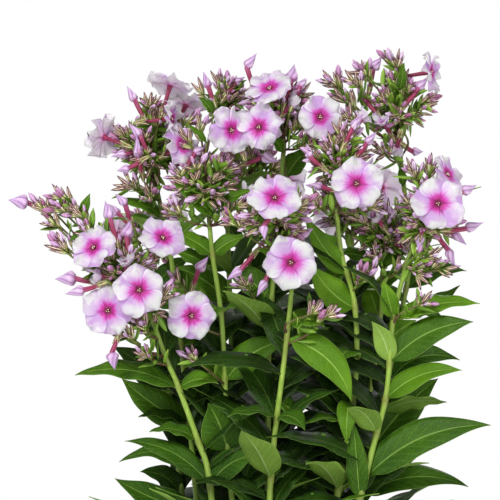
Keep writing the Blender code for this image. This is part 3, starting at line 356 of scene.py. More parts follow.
# Open petal, upper side: a thin soft petal, white to pale lilac, with a round magenta eye that runs
# out in short rays, and fine veins that fan out, about 0.6 mm apart. Its blush is the distance from
# the flower's middle, as a share of the flower's radius.
def petalFinish():
    finish, shader, add = newFinish("openPetal", 0.5)
    place, across, along, out, far = read(add, "place", "across", "along", "out", "blush")
    fan = add("CombineXYZ", add("Math MULTIPLY", across, 7.0),
              add("Math MULTIPLY", along, 1.3),
              add("Math MULTIPLY", read(add, "tone"), 40.0))
    rays = add("TexNoise", {"Vector": fan, "Scale": 1.6, "Detail": 2.0})
    reach = add("Math MULTIPLY_ADD", far, 0.72, -0.085)
    reach = add("Math ADD", reach, add("Math MULTIPLY", along, 0.28))
    reach = add("Math ADD", reach, add("Math MULTIPLY_ADD", rays, -0.24, 0.12))
    seam = add("Math MULTIPLY", add("Math MULTIPLY", out, out), 0.02)
    reach = add("Math SUBTRACT", reach, seam)
    colour = add("ValToRGB", add("Math ADD", reach, 0.0, use_clamp=True), stops={
        0.0: "#7E0A4E", 0.06: "#AC0E76", 0.15: "#C81C98", 0.23: "#D446B6", 0.32: "#E08CDA",
        0.41: "#EABEF0", 0.53: "#F4E0FA", 0.72: "#FCF3FE", 1.0: "#F6EAFB"})
    # A lilac flush down one side of each lobe and in clouds, but not on the eye
    cloud = add("TexNoise", patches(place, 9.0))
    side = add("Math ADD", across, add("Math MULTIPLY_ADD", cloud, 0.9, -0.45))
    side = add("MapRange", side, 0.35, 0.95, **softStep)
    lilac = add("Math MULTIPLY", add("MapRange", cloud, 0.44, 0.64, **softStep), 0.7)
    lilac = add("Math MULTIPLY", add("Math ADD", side, lilac), 0.85)
    lilac = add("Math MULTIPLY", lilac, add("MapRange", reach, 0.15, 0.4, **softStep), use_clamp=True)
    veins = add("TexNoise", {"Vector": fan, "Scale": 7.0, "Detail": 1.0})
    colour = tinted(add, colour, (lilac, 1.0, "#CC9CE6"),
                    ((veins, 0.55, 0.7), 0.14, "#C9A0DA"))
    return dressed(finish, shader, add, {"Base Color": colour, "Sheen Weight": 0.1,
                                         **letsLightThrough}, veins, 0.06)


# Open petal, underside: duller lilac, rose where the lobes leave the tube
def petalBackFinish():
    finish, shader, add = newFinish("openPetalUnderside", 0.55)
    place, along = read(add, "place", "along")
    colour = add("ValToRGB", along, stops={0.0: "#CC5E98", 0.12: "#ECB2E2", 0.35: "#F8DAFF", 1.0: "#FFF2FF"})
    cloud = add("TexNoise", patches(place, 7.0))
    colour = tinted(add, colour, ((cloud, 0.5, 0.7), 0.45, "#D2A8EA"))
    return dressed(finish, shader, add, {"Base Color": colour, **letsLightThrough})


# Anther: a tiny dusty sac of cream-yellow pollen
def antherFinish():
    finish, shader, add = newFinish("antherPollen", 0.8)
    dust = add("TexNoise", patches(read(add, "place"), 0.3))
    colour = add("ValToRGB", dust, stops={0.3: "#F4E9B0", 0.7: "#FFFBE4"})
    return dressed(finish, shader, add, {"Base Color": colour})


# Nursery pot: injection-moulded recycled polypropylene, matt charcoal with a fine spark-eroded grain
# about 0.5 mm across, faint smears of dried compost, scratches and lighter rubbed rims
def potFinish():
    finish, shader, add = newFinish("mouldedPolypropylene", ior=1.49)
    place, rubbed = read(add, "place", "blush")
    cloud = add("TexNoise", patches(place, 45.0, 6.0))
    colour = add("ValToRGB", cloud, stops={0.3: "#26292A", 0.7: "#323636"})
    runs = add("Mapping", {"Vector": place, "Scale": (1.0, 1.0, 0.25)})
    smear = add("TexNoise", patches(runs, 26.0, 8.0))
    speck = add("TexNoise", patches(place, 2.0, 4.0))
    dust = add("Math MULTIPLY", add("MapRange", smear, 0.54, 0.74, **softStep),
               add("MapRange", speck, 0.35, 0.7, **softStep))
    low = add("MapRange", add("SeparateXYZ", place, out="Z"), 0.05, 0.0, **softStep)
    dust = add("Math ADD", add("Math MULTIPLY", dust, 0.35),
               add("Math MULTIPLY", low, 0.12), use_clamp=True)
    worn = add("TexNoise", patches(place, 4.0))
    rubbed = add("Math MULTIPLY", rubbed, add("MapRange", worn, 0.4, 0.6, **softStep))
    colour = tinted(add, colour, (dust, 1.0, "#8A7B66"), (rubbed, 0.35, "#6C7070"))
    grain = add("TexNoise", patches(place, 0.5, 2.0))
    drawn = add("Mapping", {"Vector": place, "Rotation": (0.4, 0.9, 0.2), "Scale": (1.0, 0.03, 1.0)})
    scratch = add("TexNoise", patches(drawn, 1.1, 2.0))
    relief = add("Math SUBTRACT", grain, add("MapRange", scratch, 0.68, 0.74, **softStep))
    rough = add("Math MULTIPLY_ADD", dust, 0.4, 0.42)
    return dressed(finish, shader, add, {"Base Color": colour, "Roughness": rough}, relief, 0.06)


# Potting compost: milled peat and bark, dark brown and matt, each crumb a little different, and the
# palest ones white perlite
def soilFinish():
    finish, shader, add = newFinish("pottingCompost", 0.92)
    place, tone = read(add, "place", "tone")
    grain = add("TexNoise", patches(place, 1.2, 4.0))
    shade = add("Math ADD", add("Math MULTIPLY", tone, 0.6),
                add("Math MULTIPLY", grain, 0.5), use_clamp=True)
    colour = add("ValToRGB", shade, stops={0.15: "#1A120C", 0.45: "#33241A", 0.7: "#4C3626", 0.9: "#6B4E35"})
    colour = tinted(add, colour, ((tone, 0.975, 0.98), 1.0, "#DAD6CC"))
    return dressed(finish, shader, add, {"Base Color": colour}, grain, 0.5)


# Painted board of the studio floor: smooth matt white, which runs out into the white wall
def boardFinish():
    finish, shader, add = newFinish("paintedBoard", 0.7)
    feed(shader, {"Base Color": "#FBFBFA"})
    reach = add("VectorMath LENGTH", read(add, "place"), out="Value")
    whiten = add("Math MULTIPLY", add("MapRange", reach, 0.3, 1.15, **softStep),
                 add("LightPath", out="Is Camera Ray"))
    glow = add("Emission", {"Color": "#FFFFFF"})
    feed(finish.node_tree.nodes["Material Output"],
         {"Surface": add("MixShader", whiten, shader.outputs["BSDF"], glow)})
    return finish


# Stems as seen from the front: (across, seen height, depth). The first point is in the soil.
stems = {
    1: ((-14, -110, -12), (-20, -30, -18), (-25, 16, -22), (-31, 35, -25), (-43, 68, -32),
        (-50, 84, -36), (-55, 98, -39), (-60, 112, -42)),
    2: ((-3, -110, -29), (-9, -20, -24), (-14, 40, -21), (-15.5, 80, -18), (-17.5, 113, -18),
        (-22.5, 147, -18), (-24, 162, -18)),
    3: ((-27, -110, 6), (-32, 0, 8), (-40, 80, 10), (-48, 150, 8), (-54, 178, 6)),
    4: ((-10, -110, 26), (-10, 20, 30), (-12, 120, 30), (-15, 200, 28), (-17, 222, 27)),
    5: ((13, -110, -36), (12, 5, -36), (15, 40, -38), (20, 80, -44), (23, 105, -48), (25, 127, -51)),
    6: ((7, -110, -6), (11, 28, -8), (11, 80, -10), (13, 120, -10), (17, 170, -10), (20, 208, -9)),
    7: ((31, -110, -20), (48, -20, -23), (60, 45, -27), (64, 85, -28), (63, 115, -29), (60, 130, -30),
        (55, 147, -31), (52, 170, -33)),
    8: ((42, -110, -35), (56, -40, -36), (69, 13, -38), (76, 40, -38), (82, 65, -39), (86, 109, -39),
        (93, 138, -40)),
    9: ((47, -110, 4), (66, 0, 6), (80, 60, 12), (92, 118, 16), (96, 150, 17), (91, 200, 16)),
    10: ((31, -110, 12), (52, 0, 0), (71, 60, -10), (78, 110, -13), (79, 130, -14)),
    11: ((-27, -110, 34), (-43, 20, 48), (-55, 110, 58), (-58, 126, 60)),
    12: ((3, -110, 48), (0, 60, 60), (0, 165, 66)),
    13: ((33, -110, 38), (50, 20, 50), (60, 120, 58), (61, 146, 60)),
}

# Leaves that show: stem, seen height of the root, tip across and up, width, arch,
# how far the tip lies behind the root, and how far the face turns to the front.
seenLeaves = (
    (8, 109, 138, 118, 15, 4, -10, 0.8), (8, 109, 80, 132, 11, 2, -8, 0.5),
    (8, 82, 134, 107, 20, 6, -12, 0.9), (8, 82, 73, 107, 13, 3, -9, -0.6), (8, 60, 127, 78, 16, 6, -16, 0.8),
    (8, 40, 58, 54.5, 15, 5, -30, -0.8), (8, 13, 144.5, 45, 23, 9, -12, 0.9), (8, 0, 62, 47, 13, 2, -8, 0.4),
    (9, 126, 130, 137.5, 15, 6, 6, 0.8), (9, 112, 126, 129, 12, -3, -4, 0.7),
    (9, 110, 115, 110, 14, 4, 10, 0.8), (9, 68, 126, 84, 17, 10, -6, 0.9),
    (9, 52, 118, 58.5, 15, 4, -12, -0.6), (9, 30, 113, 73, 24, 3, 10, 0.9), (9, 2, 131, 8, 20, 9, -10, 0.9),
    (9, 10, 104, 29, 20, 3, 12, 0.9), (7, 45, 33, 46, 13, 4, -12, 0.4), (7, 58, 58, 33, 13, 10, -26, 0.6),
    (7, 85, 53, 80, 15, 7, -24, 0.7), (7, 115, 37, 141, 18, -3, -9, 0.8), (7, 135, 33, 171, 13, -2, -6, 0.8),
    (10, 108, 70, 131, 15, 2, 8, 0.7), (10, 84, 100, 108, 18, 3, 8, 0.8), (10, 84, 58, 104, 15, 3, 6, 0.7),
    (10, 52, 46, 80, 19, 3, 10, 0.8), (10, 28, 40, 46, 17, 4, 6, 0.7), (1, 67, -105, 75, 17, 7, -6, 0.7),
    (1, 67, -19, 70, 14, 4, -10, 0.8), (1, 36, -60.5, 41, 12, 4, -8, 0.6), (1, 9, 7, 27, 18, 5, -16, 0.9),
    (1, 9, -75, 35.5, 14, 7, -8, 0.8), (3, 12, -78.5, 23, 13, 11, -8, 0.7), (3, 45, -77, 73, 20, -2, -6, 0.9),
    (3, 46, -67, 50, 12, 4, -14, 0.5), (3, -8, -81, 13, 20, -2, -6, 0.9), (3, 92, -78, 108, 18, 4, -6, 0.8),
    (3, 92, -14, 112, 19, 4, 10, 0.8), (3, 132, -40, 112, 16, 8, 20, 0.7), (3, 171, -79, 180, 10, 2, -4, 0.7),
    (3, 166, -78, 168, 9, 2, 4, 0.6), (11, 2, -66, 17, 15, 5, -10, 0.8), (11, 60, -82, 92, 20, 4, -12, 0.8),
    (11, 78, -30, 98, 20, 3, -12, 0.8), (2, 28, -25, 58, 26, 2, -14, 1.6), (2, 71, 23, 96, 19, 5, -9, 0.9),
    (2, 71, -33, 84, 13, 3, -5, 0.5), (2, 113, 8, 117, 12, 3, -7, 0.3), (2, 113, -24, 104, 13, 7, -22, 0.6),
    (2, 147, -46, 160, 12, 2, -3, 0.7), (2, 147, -3, 158, 12, 2, -3, 0.7), (6, 54, -30, 56, 16, 4, 4, 0.1),
    (6, 31, -3, 8, 12, 5, -10, 0.6), (6, 13, 50, -5, 18, 6, 2, 0.8), (6, 118, -16, 138, 18, 4, 10, 0.8),
    (6, 150, 33, 175, 20, 3, 4, 0.8), (5, 97, 61, 59, 19, 8, -4, 0.8), (5, 50, -14, 50, 16, 4, -8, 0.3),
    (5, 50, 33, 42, 15, 4, -18, 0.6), (5, 106, 45, 104, 18, 4, -8, 0.8), (4, 118, -45, 140, 19, 3, 8, 0.8),
    (4, 84, -52, 92, 20, 5, -4, 0.8), (4, 84, 22, 104, 20, 4, -10, 0.8), (4, 40, 20, 70, 20, 3, -6, 0.8),
    (12, 96, 36, 110, 22, 5, -14, 0.9), (12, 96, -34, 120, 22, 5, -10, 0.9),
    (12, 58, 38, 76, 22, 5, -12, 0.9), (12, 58, -36, 72, 22, 5, -10, 0.9), (12, 20, 36, 36, 22, 5, -10, 0.9),
    (12, 20, -32, 40, 22, 5, -10, 0.9), (12, 134, 30, 150, 18, 4, -12, 0.9),
    (13, 92, 26, 96, 20, 6, -12, 0.9), (13, 52, 22, 60, 22, 6, -14, 0.9), (13, 52, 92, 82, 20, 4, -8, 0.9),
    (13, 14, 24, 26, 22, 6, -10, 0.9), (13, 120, 96, 118, 18, 6, -6, 0.9),
)

# Flower heads: middle and half sizes as seen (across, height, depth), side branches, buds on each
heads = {
    1: ((-77, 138, -44), (27, 24, 17), 5, 3), 2: ((-27, 189, -20), (28, 24, 18), 7, 3),
    3: ((-61, 211, 4), (31, 31, 20), 7, 3), 4: ((-18, 238, 25), (21, 18, 17), 5, 3),
    5: ((14, 169, -54), (23, 25, 15), 5, 3), 6: ((18, 234, -8), (25, 22, 19), 7, 3),
    7: ((54, 203, -35), (23, 27, 17), 7, 3), 8: ((106, 168, -42), (23, 25, 16), 7, 3),
    9: ((91, 236, 16), (22, 28, 19), 7, 3), 10: ((83, 158, -13), (22, 21, 14), 5, 3),
    11: ((-61, 157, 62), (27, 27, 21), 5, 3), 12: ((0, 196, 68), (27, 27, 21), 5, 3),
    13: ((62, 176, 62), (27, 27, 21), 5, 3),
}

# Open flowers: stem or head that carries it, middle (across, height, depth), facing, diameter
flowers = (
    ("head", 1, (-66.5, 126, -66), (0.0, -1.0, 0.0), 31),
    ("head", 1, (-85.5, 113.5, -63), (-0.15, -1.0, 0.0), 30),
    ("head", 1, (-94.5, 152, -60), (-0.4, -0.8, 0.4), 28),
    ("head", 1, (-52, 158, -55), (0.25, -0.75, 0.55), 28),
    ("stem", 2, (-35, 110.5, -48), (0.15, -1.0, 0.0), 29),
    ("head", 2, (-10.5, 222, -32), (0.55, -0.8, 0.1), 29), ("head", 6, (5, 224, -36), (-0.3, -0.9, 0.2), 28),
    ("head", 6, (11.5, 248, -26), (-0.25, -0.6, 0.75), 29),
    ("head", 6, (42.5, 230, -34), (0.3, -0.95, 0.1), 27), ("head", 5, (15, 182, -76), (0.1, -0.85, 0.5), 32),
    ("head", 5, (24.5, 142.5, -76), (0.0, -1.0, 0.05), 32),
    ("head", 7, (64, 190, -62), (0.0, -1.0, 0.05), 31), ("head", 8, (113, 178, -66), (0.0, -1.0, 0.1), 31),
    ("head", 8, (119.5, 196, -46), (0.75, -0.5, 0.45), 26),
    ("head", 9, (110, 257, 12), (1.0, -0.35, 0.15), 24), ("head", 3, (-47.5, 250, -2), (0.25, 0.36, 0.9), 28),
    ("head", 3, (-38, 238, 14), (0.35, 0.5, 0.8), 26), ("head", 3, (-46, 229, -16), (0.95, -0.3, 0.1), 24),
    ("head", 3, (-40, 213, -24), (0.6, -0.7, 0.3), 26), ("head", 3, (-88.5, 218, 4), (-0.72, 0.62, 0.28), 28),
    ("head", 11, (-80, 160, 86), (-0.5, 0.8, 0.3), 29), ("head", 11, (-48, 166, 92), (0.3, 0.9, 0.2), 30),
    ("head", 11, (-66, 134, 88), (-0.2, 0.9, 0.1), 29), ("head", 12, (2, 214, 96), (0.0, 0.9, 0.45), 30),
    ("head", 12, (24, 192, 88), (0.6, 0.75, 0.1), 29), ("head", 12, (-20, 184, 92), (-0.4, 0.8, 0.2), 29),
    ("head", 13, (80, 188, 88), (0.5, 0.8, 0.3), 30), ("head", 13, (50, 172, 93), (-0.1, 0.95, 0.1), 29),
    ("head", 13, (86, 160, 78), (0.8, 0.5, 0.1), 28),
)

# Open flowers that are past their best, by their row above: how much more their lobes bend and curl
crumpled = {2: 1.3, 5: 2.5, 6: 2.8, 8: 1.4, 14: 2.2, 15: 1.8, 16: 1.8, 17: 2.4, 18: 2.4, 19: 2.6, 22: 1.8,
            25: 1.6}

# Large closed buds: carrier, then tip, neck and tube end as seen (across, height), and radius
buds = (
    ("head", 3, (-74, 248.5), (-69, 240), (-64, 230), 3.0),
    ("head", 3, (-39.5, 256), (-46, 248), (-52, 236), 3.4), ("head", 6, (4, 268), (-2, 260), (2, 248), 3.3),
    ("head", 6, (26.5, 261.5), (25, 252), (21, 238), 4.0), ("head", 6, (33, 253), (30, 248), (26, 238), 3.0),
    ("head", 9, (79, 266), (74, 259), (72, 248), 3.8), ("head", 9, (64, 250), (68, 242), (76, 232), 3.0),
    ("head", 9, (107, 254), (101, 247), (93, 237), 3.0),
    ("head", 1, (-87, 179.5), (-84, 169), (-80, 155), 3.8),
    ("head", 1, (-145, 180), (-134, 178.5), (-125, 176), 5.0),
    ("head", 1, (-117, 132.5), (-105, 133), (-95, 131), 5.0),
    ("head", 1, (-111, 123.5), (-100, 126), (-91, 129), 3.6),
    ("head", 1, (-72, 168), (-74, 158), (-73, 149), 4.2),
    ("head", 3, (-83.5, 206), (-75, 208), (-67, 210), 3.0),
    ("head", 3, (-73, 226), (-66, 219), (-62, 210), 3.0),
    ("head", 3, (-68, 219), (-67, 206), (-65, 197), 3.0),
    ("head", 8, (140, 166.5), (130, 163), (120, 162), 3.4),
    ("head", 8, (136, 189), (128, 185), (118, 180), 3.6),
    ("head", 8, (123, 138.5), (119, 150), (113, 158), 3.0),
    ("head", 8, (130, 153), (122, 160), (114, 164), 3.0),
    ("stem", 2, (-25, 146), (-31, 138), (-34, 129), 3.8), ("head", 7, (33, 189), (43, 188), (50, 186), 3.0),
    ("head", 7, (34, 214), (36, 206), (43, 200), 3.0), ("head", 2, (-26, 213), (-33, 208), (-38, 200), 3.0),
    ("head", 9, (104, 209), (98, 209), (93.5, 212), 3.0), ("stem", 1, (-81, 78), (-83, 88), (-80, 96), 4.2),
    ("head", 8, (101, 150), (102, 158), (104, 166), 3.4), ("head", 10, (100, 148), (92, 152), (86, 155), 3.6),
    ("head", 5, (9, 156), (8, 164), (12, 170), 3.0), ("head", 2, (17, 203), (8, 206), (-2, 202), 4.0),
    ("head", 5, (-14, 132), (-6, 138), (2, 147), 3.0), ("head", 5, (4, 122), (9, 131), (13, 140), 3.0),
    ("head", 5, (38, 163), (31, 159), (24, 157), 3.0), ("head", 4, (-3, 254), (-9, 250), (-14, 243), 3.0),
    ("head", 4, (-28, 257), (-25, 248), (-22, 240), 3.0),
    ("head", 1, (-81, 184), (-75, 178), (-72, 168), 3.0),
    ("head", 3, (-80, 197.5), (-73, 199), (-66, 203), 3.0), ("head", 7, (76, 221), (70, 214), (64, 206), 3.0),
    ("head", 7, (68, 232), (62, 224), (57, 214), 3.0), ("head", 11, (-86, 178), (-79, 172), (-72, 165), 3.0),
    ("head", 12, (-10, 226), (-7, 217), (-4, 207), 3.0), ("head", 13, (74, 206), (70, 197), (66, 187), 3.0),
)

# Half-open flowers: carrier, mouth and tube end as seen (across, height)
funnels = (
    ("head", 2, (0, 187), (-5, 176)), ("head", 1, (-75, 146), (-74, 133)),
    ("head", 1, (-95, 134), (-86, 134)), ("head", 6, (28, 240), (20, 232)), ("head", 7, (70, 232), (60, 220)),
    ("head", 9, (78, 230), (84, 220)), ("head", 9, (87, 208), (90, 218)), ("head", 10, (74, 172), (80, 164)),
)

# Extra bud clusters away from the heads: carrier, middle (across, height, depth), buds
clusters = (
    ("head", 1, (-114, 175, -44), 8), ("head", 1, (-111, 152, -46), 3), ("stem", 2, (-43, 130, -30), 3),
    ("stem", 6, (-2, 128, -26), 3), ("stem", 5, (38, 112, -60), 3), ("stem", 2, (-33, 84, -34), 3),
    ("stem", 1, (-62, 86, -46), 3), ("stem", 8, (103, 118, -52), 3), ("stem", 10, (72, 134, -26), 3),
)

# Small leaves at the forks of the heads: carrier, root and tip (across, height, depth), width
smallLeaves = (
    ("head", 1, (-101, 170, -44), (-96, 184, -46), 6.0), ("head", 1, (-97, 161, -44), (-108, 155, -48), 5.0),
    ("head", 1, (-106, 172, -46), (-112, 182, -54), 5.0), ("head", 2, (-22, 232, -30), (-31, 241, -36), 8.0),
    ("head", 2, (-26, 214, -30), (-39, 225, -34), 5.0), ("head", 2, (-22, 170, -24), (-46, 190, -28), 12.0),
    ("head", 2, (-20, 176, -24), (2, 186, -30), 9.0), ("head", 3, (-57, 220, -6), (-69, 224, -10), 4.5),
    ("head", 3, (-54, 196, -2), (-70, 204, -8), 6.0), ("stem", 2, (-22, 139, -14), (-47, 150, -8), 13.0),
    ("head", 9, (90, 246, 6), (92, 262, 0), 6.0), ("head", 9, (62, 236, 4), (47, 246, -2), 8.0),
    ("head", 6, (22, 194, -8), (36, 211, -6), 14.0), ("head", 6, (20, 208, -14), (8, 222, -20), 8.0),
    ("head", 7, (52, 190, -34), (41, 204, -36), 10.0), ("head", 8, (92, 188, -42), (88, 203, -48), 6.0),
    ("head", 8, (98, 176, -44), (110, 186, -52), 6.0), ("head", 10, (79, 140, -16), (96, 150, -20), 8.0),
    ("head", 10, (78, 150, -18), (62, 158, -24), 8.0), ("head", 5, (24, 136, -52), (38, 146, -58), 8.0),
    ("head", 5, (22, 142, -54), (4, 150, -60), 8.0), ("head", 7, (54, 176, -34), (68, 184, -38), 8.0),
    ("head", 4, (-16, 232, 24), (-28, 244, 20), 8.0), ("head", 4, (-14, 240, 24), (-2, 252, 22), 7.0),
    ("head", 6, (22, 222, -14), (34, 234, -18), 7.0), ("stem", 7, (56, 140, -28), (42, 120, -24), 13.0),
    ("stem", 5, (16, 60, -40), (32, 46, -30), 14.0), ("stem", 10, (74, 96, -12), (60, 112, -6), 13.0),
    ("stem", 7, (56, 148, -8), (74, 143, -2), 11.0), ("stem", 7, (54, 149, -8), (40, 160, -2), 10.0),
    ("stem", 10, (76, 126, 2), (93, 138, 6), 10.0), ("stem", 12, (-4, 150, 60), (-17, 167, 52), 12.0),
    ("stem", 12, (-2, 146, 60), (-26, 136, 54), 13.0), ("stem", 11, (-58, 128, 58), (-36, 146, 52), 13.0),
    ("stem", 11, (-60, 122, 60), (-42, 112, 54), 12.0),
)

# More sprays of young buds, too fine for the solids: carrier, middle (across, height, depth), buds
extraSprays = (
    ("head", 1, (-112, 181, -46), 6), ("head", 1, (-124, 174, -42), 5), ("head", 1, (-104, 172, -48), 6),
    ("head", 1, (-117, 165, -44), 4), ("head", 1, (-98, 160, -50), 4), ("head", 1, (-112, 150, -47), 4),
    ("head", 3, (-60, 236, -4), 6), ("head", 3, (-53, 228, -8), 5), ("head", 2, (-30, 224, -24), 6),
    ("head", 2, (-38, 216, -26), 5), ("head", 3, (-72, 188, -2), 6), ("head", 3, (-60, 182, -6), 6),
    ("head", 6, (30, 226, -20), 6), ("head", 6, (36, 214, -20), 6), ("head", 6, (26, 240, -14), 5),
    ("head", 9, (56, 240, 2), 7), ("head", 9, (50, 250, 4), 6), ("head", 9, (60, 228, 0), 6),
    ("head", 9, (68, 256, 8), 6), ("head", 9, (86, 262, 12), 5), ("head", 8, (98, 196, -46), 6),
    ("head", 8, (106, 186, -50), 6), ("head", 9, (80, 208, -4), 6), ("head", 8, (108, 146, -46), 6),
    ("head", 8, (116, 138, -44), 5), ("head", 8, (100, 136, -44), 5), ("stem", 1, (-74, 98, -50), 5),
    ("stem", 1, (-64, 104, -50), 5), ("head", 1, (-52, 122, -52), 5), ("head", 1, (-56, 112, -50), 5),
    ("stem", 5, (46, 110, -58), 5), ("stem", 7, (66, 132, -36), 4), ("head", 5, (-10, 166, -50), 6),
    ("head", 5, (30, 176, -56), 5), ("head", 10, (66, 168, -24), 6), ("head", 10, (90, 172, -26), 5),
    ("head", 7, (40, 176, -44), 5), ("head", 7, (72, 176, -46), 5), ("head", 2, (-46, 172, -26), 6),
    ("head", 2, (-8, 176, -28), 5), ("head", 10, (76, 146, -22), 5), ("head", 10, (92, 140, -24), 5),
    ("head", 9, (63, 250, 2), 5), ("head", 8, (108, 198, -40), 4), ("head", 3, (-38, 226, -2), 4),
)

# The solids were placed by trying several options in order. These tries took a later one than the
# first, by the number of the try. At -1 none was clear, and the piece was left out.
laterTries = {
    2: 2, 21: 1, 32: 2, 71: 2, 73: 3, 75: 2, 113: 1, 133: 14, 134: -1, 137: 7, 142: 28, 144: 21,
    146: 14, 147: 4, 150: 22, 151: 3, 152: 28, 153: 2, 159: 18, 161: 21, 164: 14, 169: 22, 173: 7,
    176: 2, 179: 28, 181: 22, 182: 7, 185: 6, 186: 1, 187: 1, 188: 1, 190: 7, 200: 10, 203: 6, 208: 12,
    209: 4, 220: 7, 222: 5, 229: 9, 230: -1, 249: 2, 251: 1, 254: 1, 276: 2, 278: 6, 282: -1, 285: 1,
    286: 1, 288: 2, 296: 1, 297: 10, 298: -1, 302: 4, 307: 8, 311: 3, 314: -1, 316: 1, 317: 9, 321: 2,
    326: 4, 337: 1, 338: 6, 344: 1, 348: 4, 359: 1, 361: 10, 368: 2, 369: 1, 392: 12, 396: 11, 401: 2,
    404: 1, 420: 1, 439: 42, 441: 3, 443: -1, 444: 10, 445: 7, 446: 1, 447: -1, 448: 3, 449: 4, 450: 41,
    452: 3, 456: 6, 457: 1, 459: 5, 461: 2, 463: 2, 469: 4, 470: 1, 472: -1, 473: 49, 474: 1, 475: -1,
    479: 12, 480: 4, 481: 33, 482: 5, 485: 19, 487: 6, 488: 13, 489: 3, 491: -1, 494: 28, 495: 49,
    496: 52, 497: 4, 498: 18, 501: 35, 503: 2, 504: -1, 505: 28, 507: 33, 508: 3, 509: 4, 510: 19,
    513: 47, 514: 2, 516: 6, 517: 1,
}


def vary(*key):
    # A draw from -1 to 1 that depends only on its key
    return random.Random(repr(key)).uniform(-1.0, 1.0)


def seen(across, height, depth):
    # The place of what shows at (across, height) in the photo's frame when it lies at this depth
    scale = 1.0 + depth / photo["distance"]
    return Vector((across * scale, depth, photo["eye"] + (height - photo["middle"]) * scale)) * mm


def seenHeight(place):
    return (place.z / mm - photo["eye"]) / (1.0 + place.y / mm / photo["distance"]) + photo["middle"]


def refine(points, values, step):
    # Points about a step apart on a Catmull-Rom curve, with a value carried along
    ends = [points[0] * 2 - points[1]] + list(points) + [points[-1] * 2 - points[-2]]
    path = [points[0]]
    carried = [values[0]]
    for i, (a, b, c, d) in enumerate(zip(ends, ends[1:], ends[2:], ends[3:])):
        count = max(1, round((c - b).length / (step * mm)))
        for k in range(1, count + 1):
            t = k / count
            path.append(0.5 * (2 * b + (c - a) * t + (2 * a - 5 * b + 4 * c - d) * t * t
                               + (3 * b - a - 3 * c + d) * t ** 3))
            carried.append(values[i] + (values[i + 1] - values[i]) * t)
    return path, carried


def smooth(points, step):
    return refine(points, [0.0] * len(points), step)[0]


def stemPath(number):
    root, *others = [Vector(p) for p in stems[number]]
    surface = Vector((root.x, root.z, soilLook["top"])) * mm
    rest = [seen(*p) for p in others]
    lean = (rest[0] - surface).normalized()
    lean = (lean + Vector((0, 0, 1.5))).normalized()
    buried = surface - lean * (stemLook["buried"] * mm / lean.z)
    above = surface + lean * (stemLook["straight"] * mm / lean.z)
    return [buried] + smooth([above] + rest, stemLook["bend"])


def stalkPath(number, stem):
    x, z, depth = heads[number][0]
    half = heads[number][1][1]
    rise = (stem[-1] - stem[-2]).normalized()
    foot = stem[-1] + rise * (0.3 * mm)
    knee = foot + rise * (6.0 * mm)
    return [foot] + smooth([knee, seen(x, z, depth), seen(x, z + 0.6 * half, depth)], 16.0)


def atHeight(path, height):
    for a, b in zip(path, path[1:]):
        low, high = seenHeight(a), seenHeight(b)
        if height <= high or b is path[-1]:
            share = min(1.0, max(0.0, (height - low) / (high - low)))
            return a.lerp(b, share)


def headPlace(number, share, direction):
    middle, sizes = heads[number][:2]
    return seen(*[m + share * s * d for m, s, d in zip(middle, sizes, (direction.x, direction.z, direction.y))])


def frontDepth(number, across, height):
    (x, z, depth), (halfX, halfZ, halfDepth) = heads[number][:2]
    left = 1.0 - ((across - x) / halfX) ** 2 - ((height - z) / halfZ) ** 2
    return depth - halfDepth * math.sqrt(max(0.0, left))


def carrierRoot(kind, number, base):
    # Where a side stalk that ends at base leaves its stem or its head's stalk
    path = paths[kind, number]
    height = seenHeight(base)
    spread = min((Vector((base.x, base.y)) - Vector((p.x, p.y))).length for p in path) / mm
    low, high = seenHeight(path[0]) + 2.0, seenHeight(path[-1])
    return atHeight(path, min(high, max(low, height - 0.7 * spread - 2.0)))


def bends():
    ways = [Vector((0, 0, 0))]
    for size in (4, 8, 13):
        for k in range(6):
            angle = math.pi * k / 3
            ways.append(Vector((math.cos(angle), math.sin(angle), 0.3 * math.sin(2 * angle))) * (size * mm))
    return ways


def shifts(*sizes):
    return [0.0] + [sign * size for size in sizes for sign in (-1, 1)]


tryNumbers = iter(range(100000))


def clearOption(options):
    pick = laterTries.get(next(tryNumbers), 0)
    return None if pick < 0 else options[pick]


class Sheaf:
    # Gathers the skins of one piece, with their finishes and their values at each point
    def __init__(self):
        self.points = []
        self.uvs = []
        self.tones = []
        self.blushes = []
        self.faces = []
        self.count = 0

    def add(self, points, uv, faces, tone, blush):
        self.points.append(points)
        self.uvs.append(uv)
        self.tones.append(np.broadcast_to(tone, len(points)))
        self.blushes.append(np.broadcast_to(blush, len(points)))
        self.faces += [(block + self.count, slot) for block, slot in faces]
        self.count += len(points)

    def mesh(self, name, finishes, withTone=True):
        loops = np.concatenate([block.ravel() for block, slot in self.faces]).astype(np.int32)
        sizes = np.concatenate([np.full(len(block), block.shape[1]) for block, slot in self.faces])
        slots = np.concatenate([np.full(len(block), slot) for block, slot in self.faces])
        mesh = bpy.data.meshes.new(name)
        mesh.vertices.add(self.count)
        mesh.vertices.foreach_set("co", np.concatenate(self.points).astype(np.float32).ravel())
        mesh.loops.add(len(loops))
        mesh.loops.foreach_set("vertex_index", loops)
        mesh.polygons.add(len(sizes))
        mesh.polygons.foreach_set("loop_start", (np.cumsum(sizes) - sizes).astype(np.int32))
        mesh.polygons.foreach_set("use_smooth", np.ones(len(sizes), bool))
        mesh.update(calc_edges=True)
        uv = mesh.uv_layers.new(name="UVMap")
        uv.data.foreach_set("uv", np.concatenate(self.uvs)[loops].astype(np.float32).ravel())
        values = [("blush", self.blushes)] + ([("tone", self.tones)] if withTone else [])
        for key, parts in values:
            layer = mesh.attributes.new(key, "FLOAT", "POINT")
            layer.data.foreach_set("value", np.concatenate(parts).astype(np.float32))
        used = np.unique(slots)
        mesh.polygons.foreach_set("material_index", np.searchsorted(used, slots).astype(np.int32))
        for slot in used:
            mesh.materials.append(finishes[slot])
        return mesh


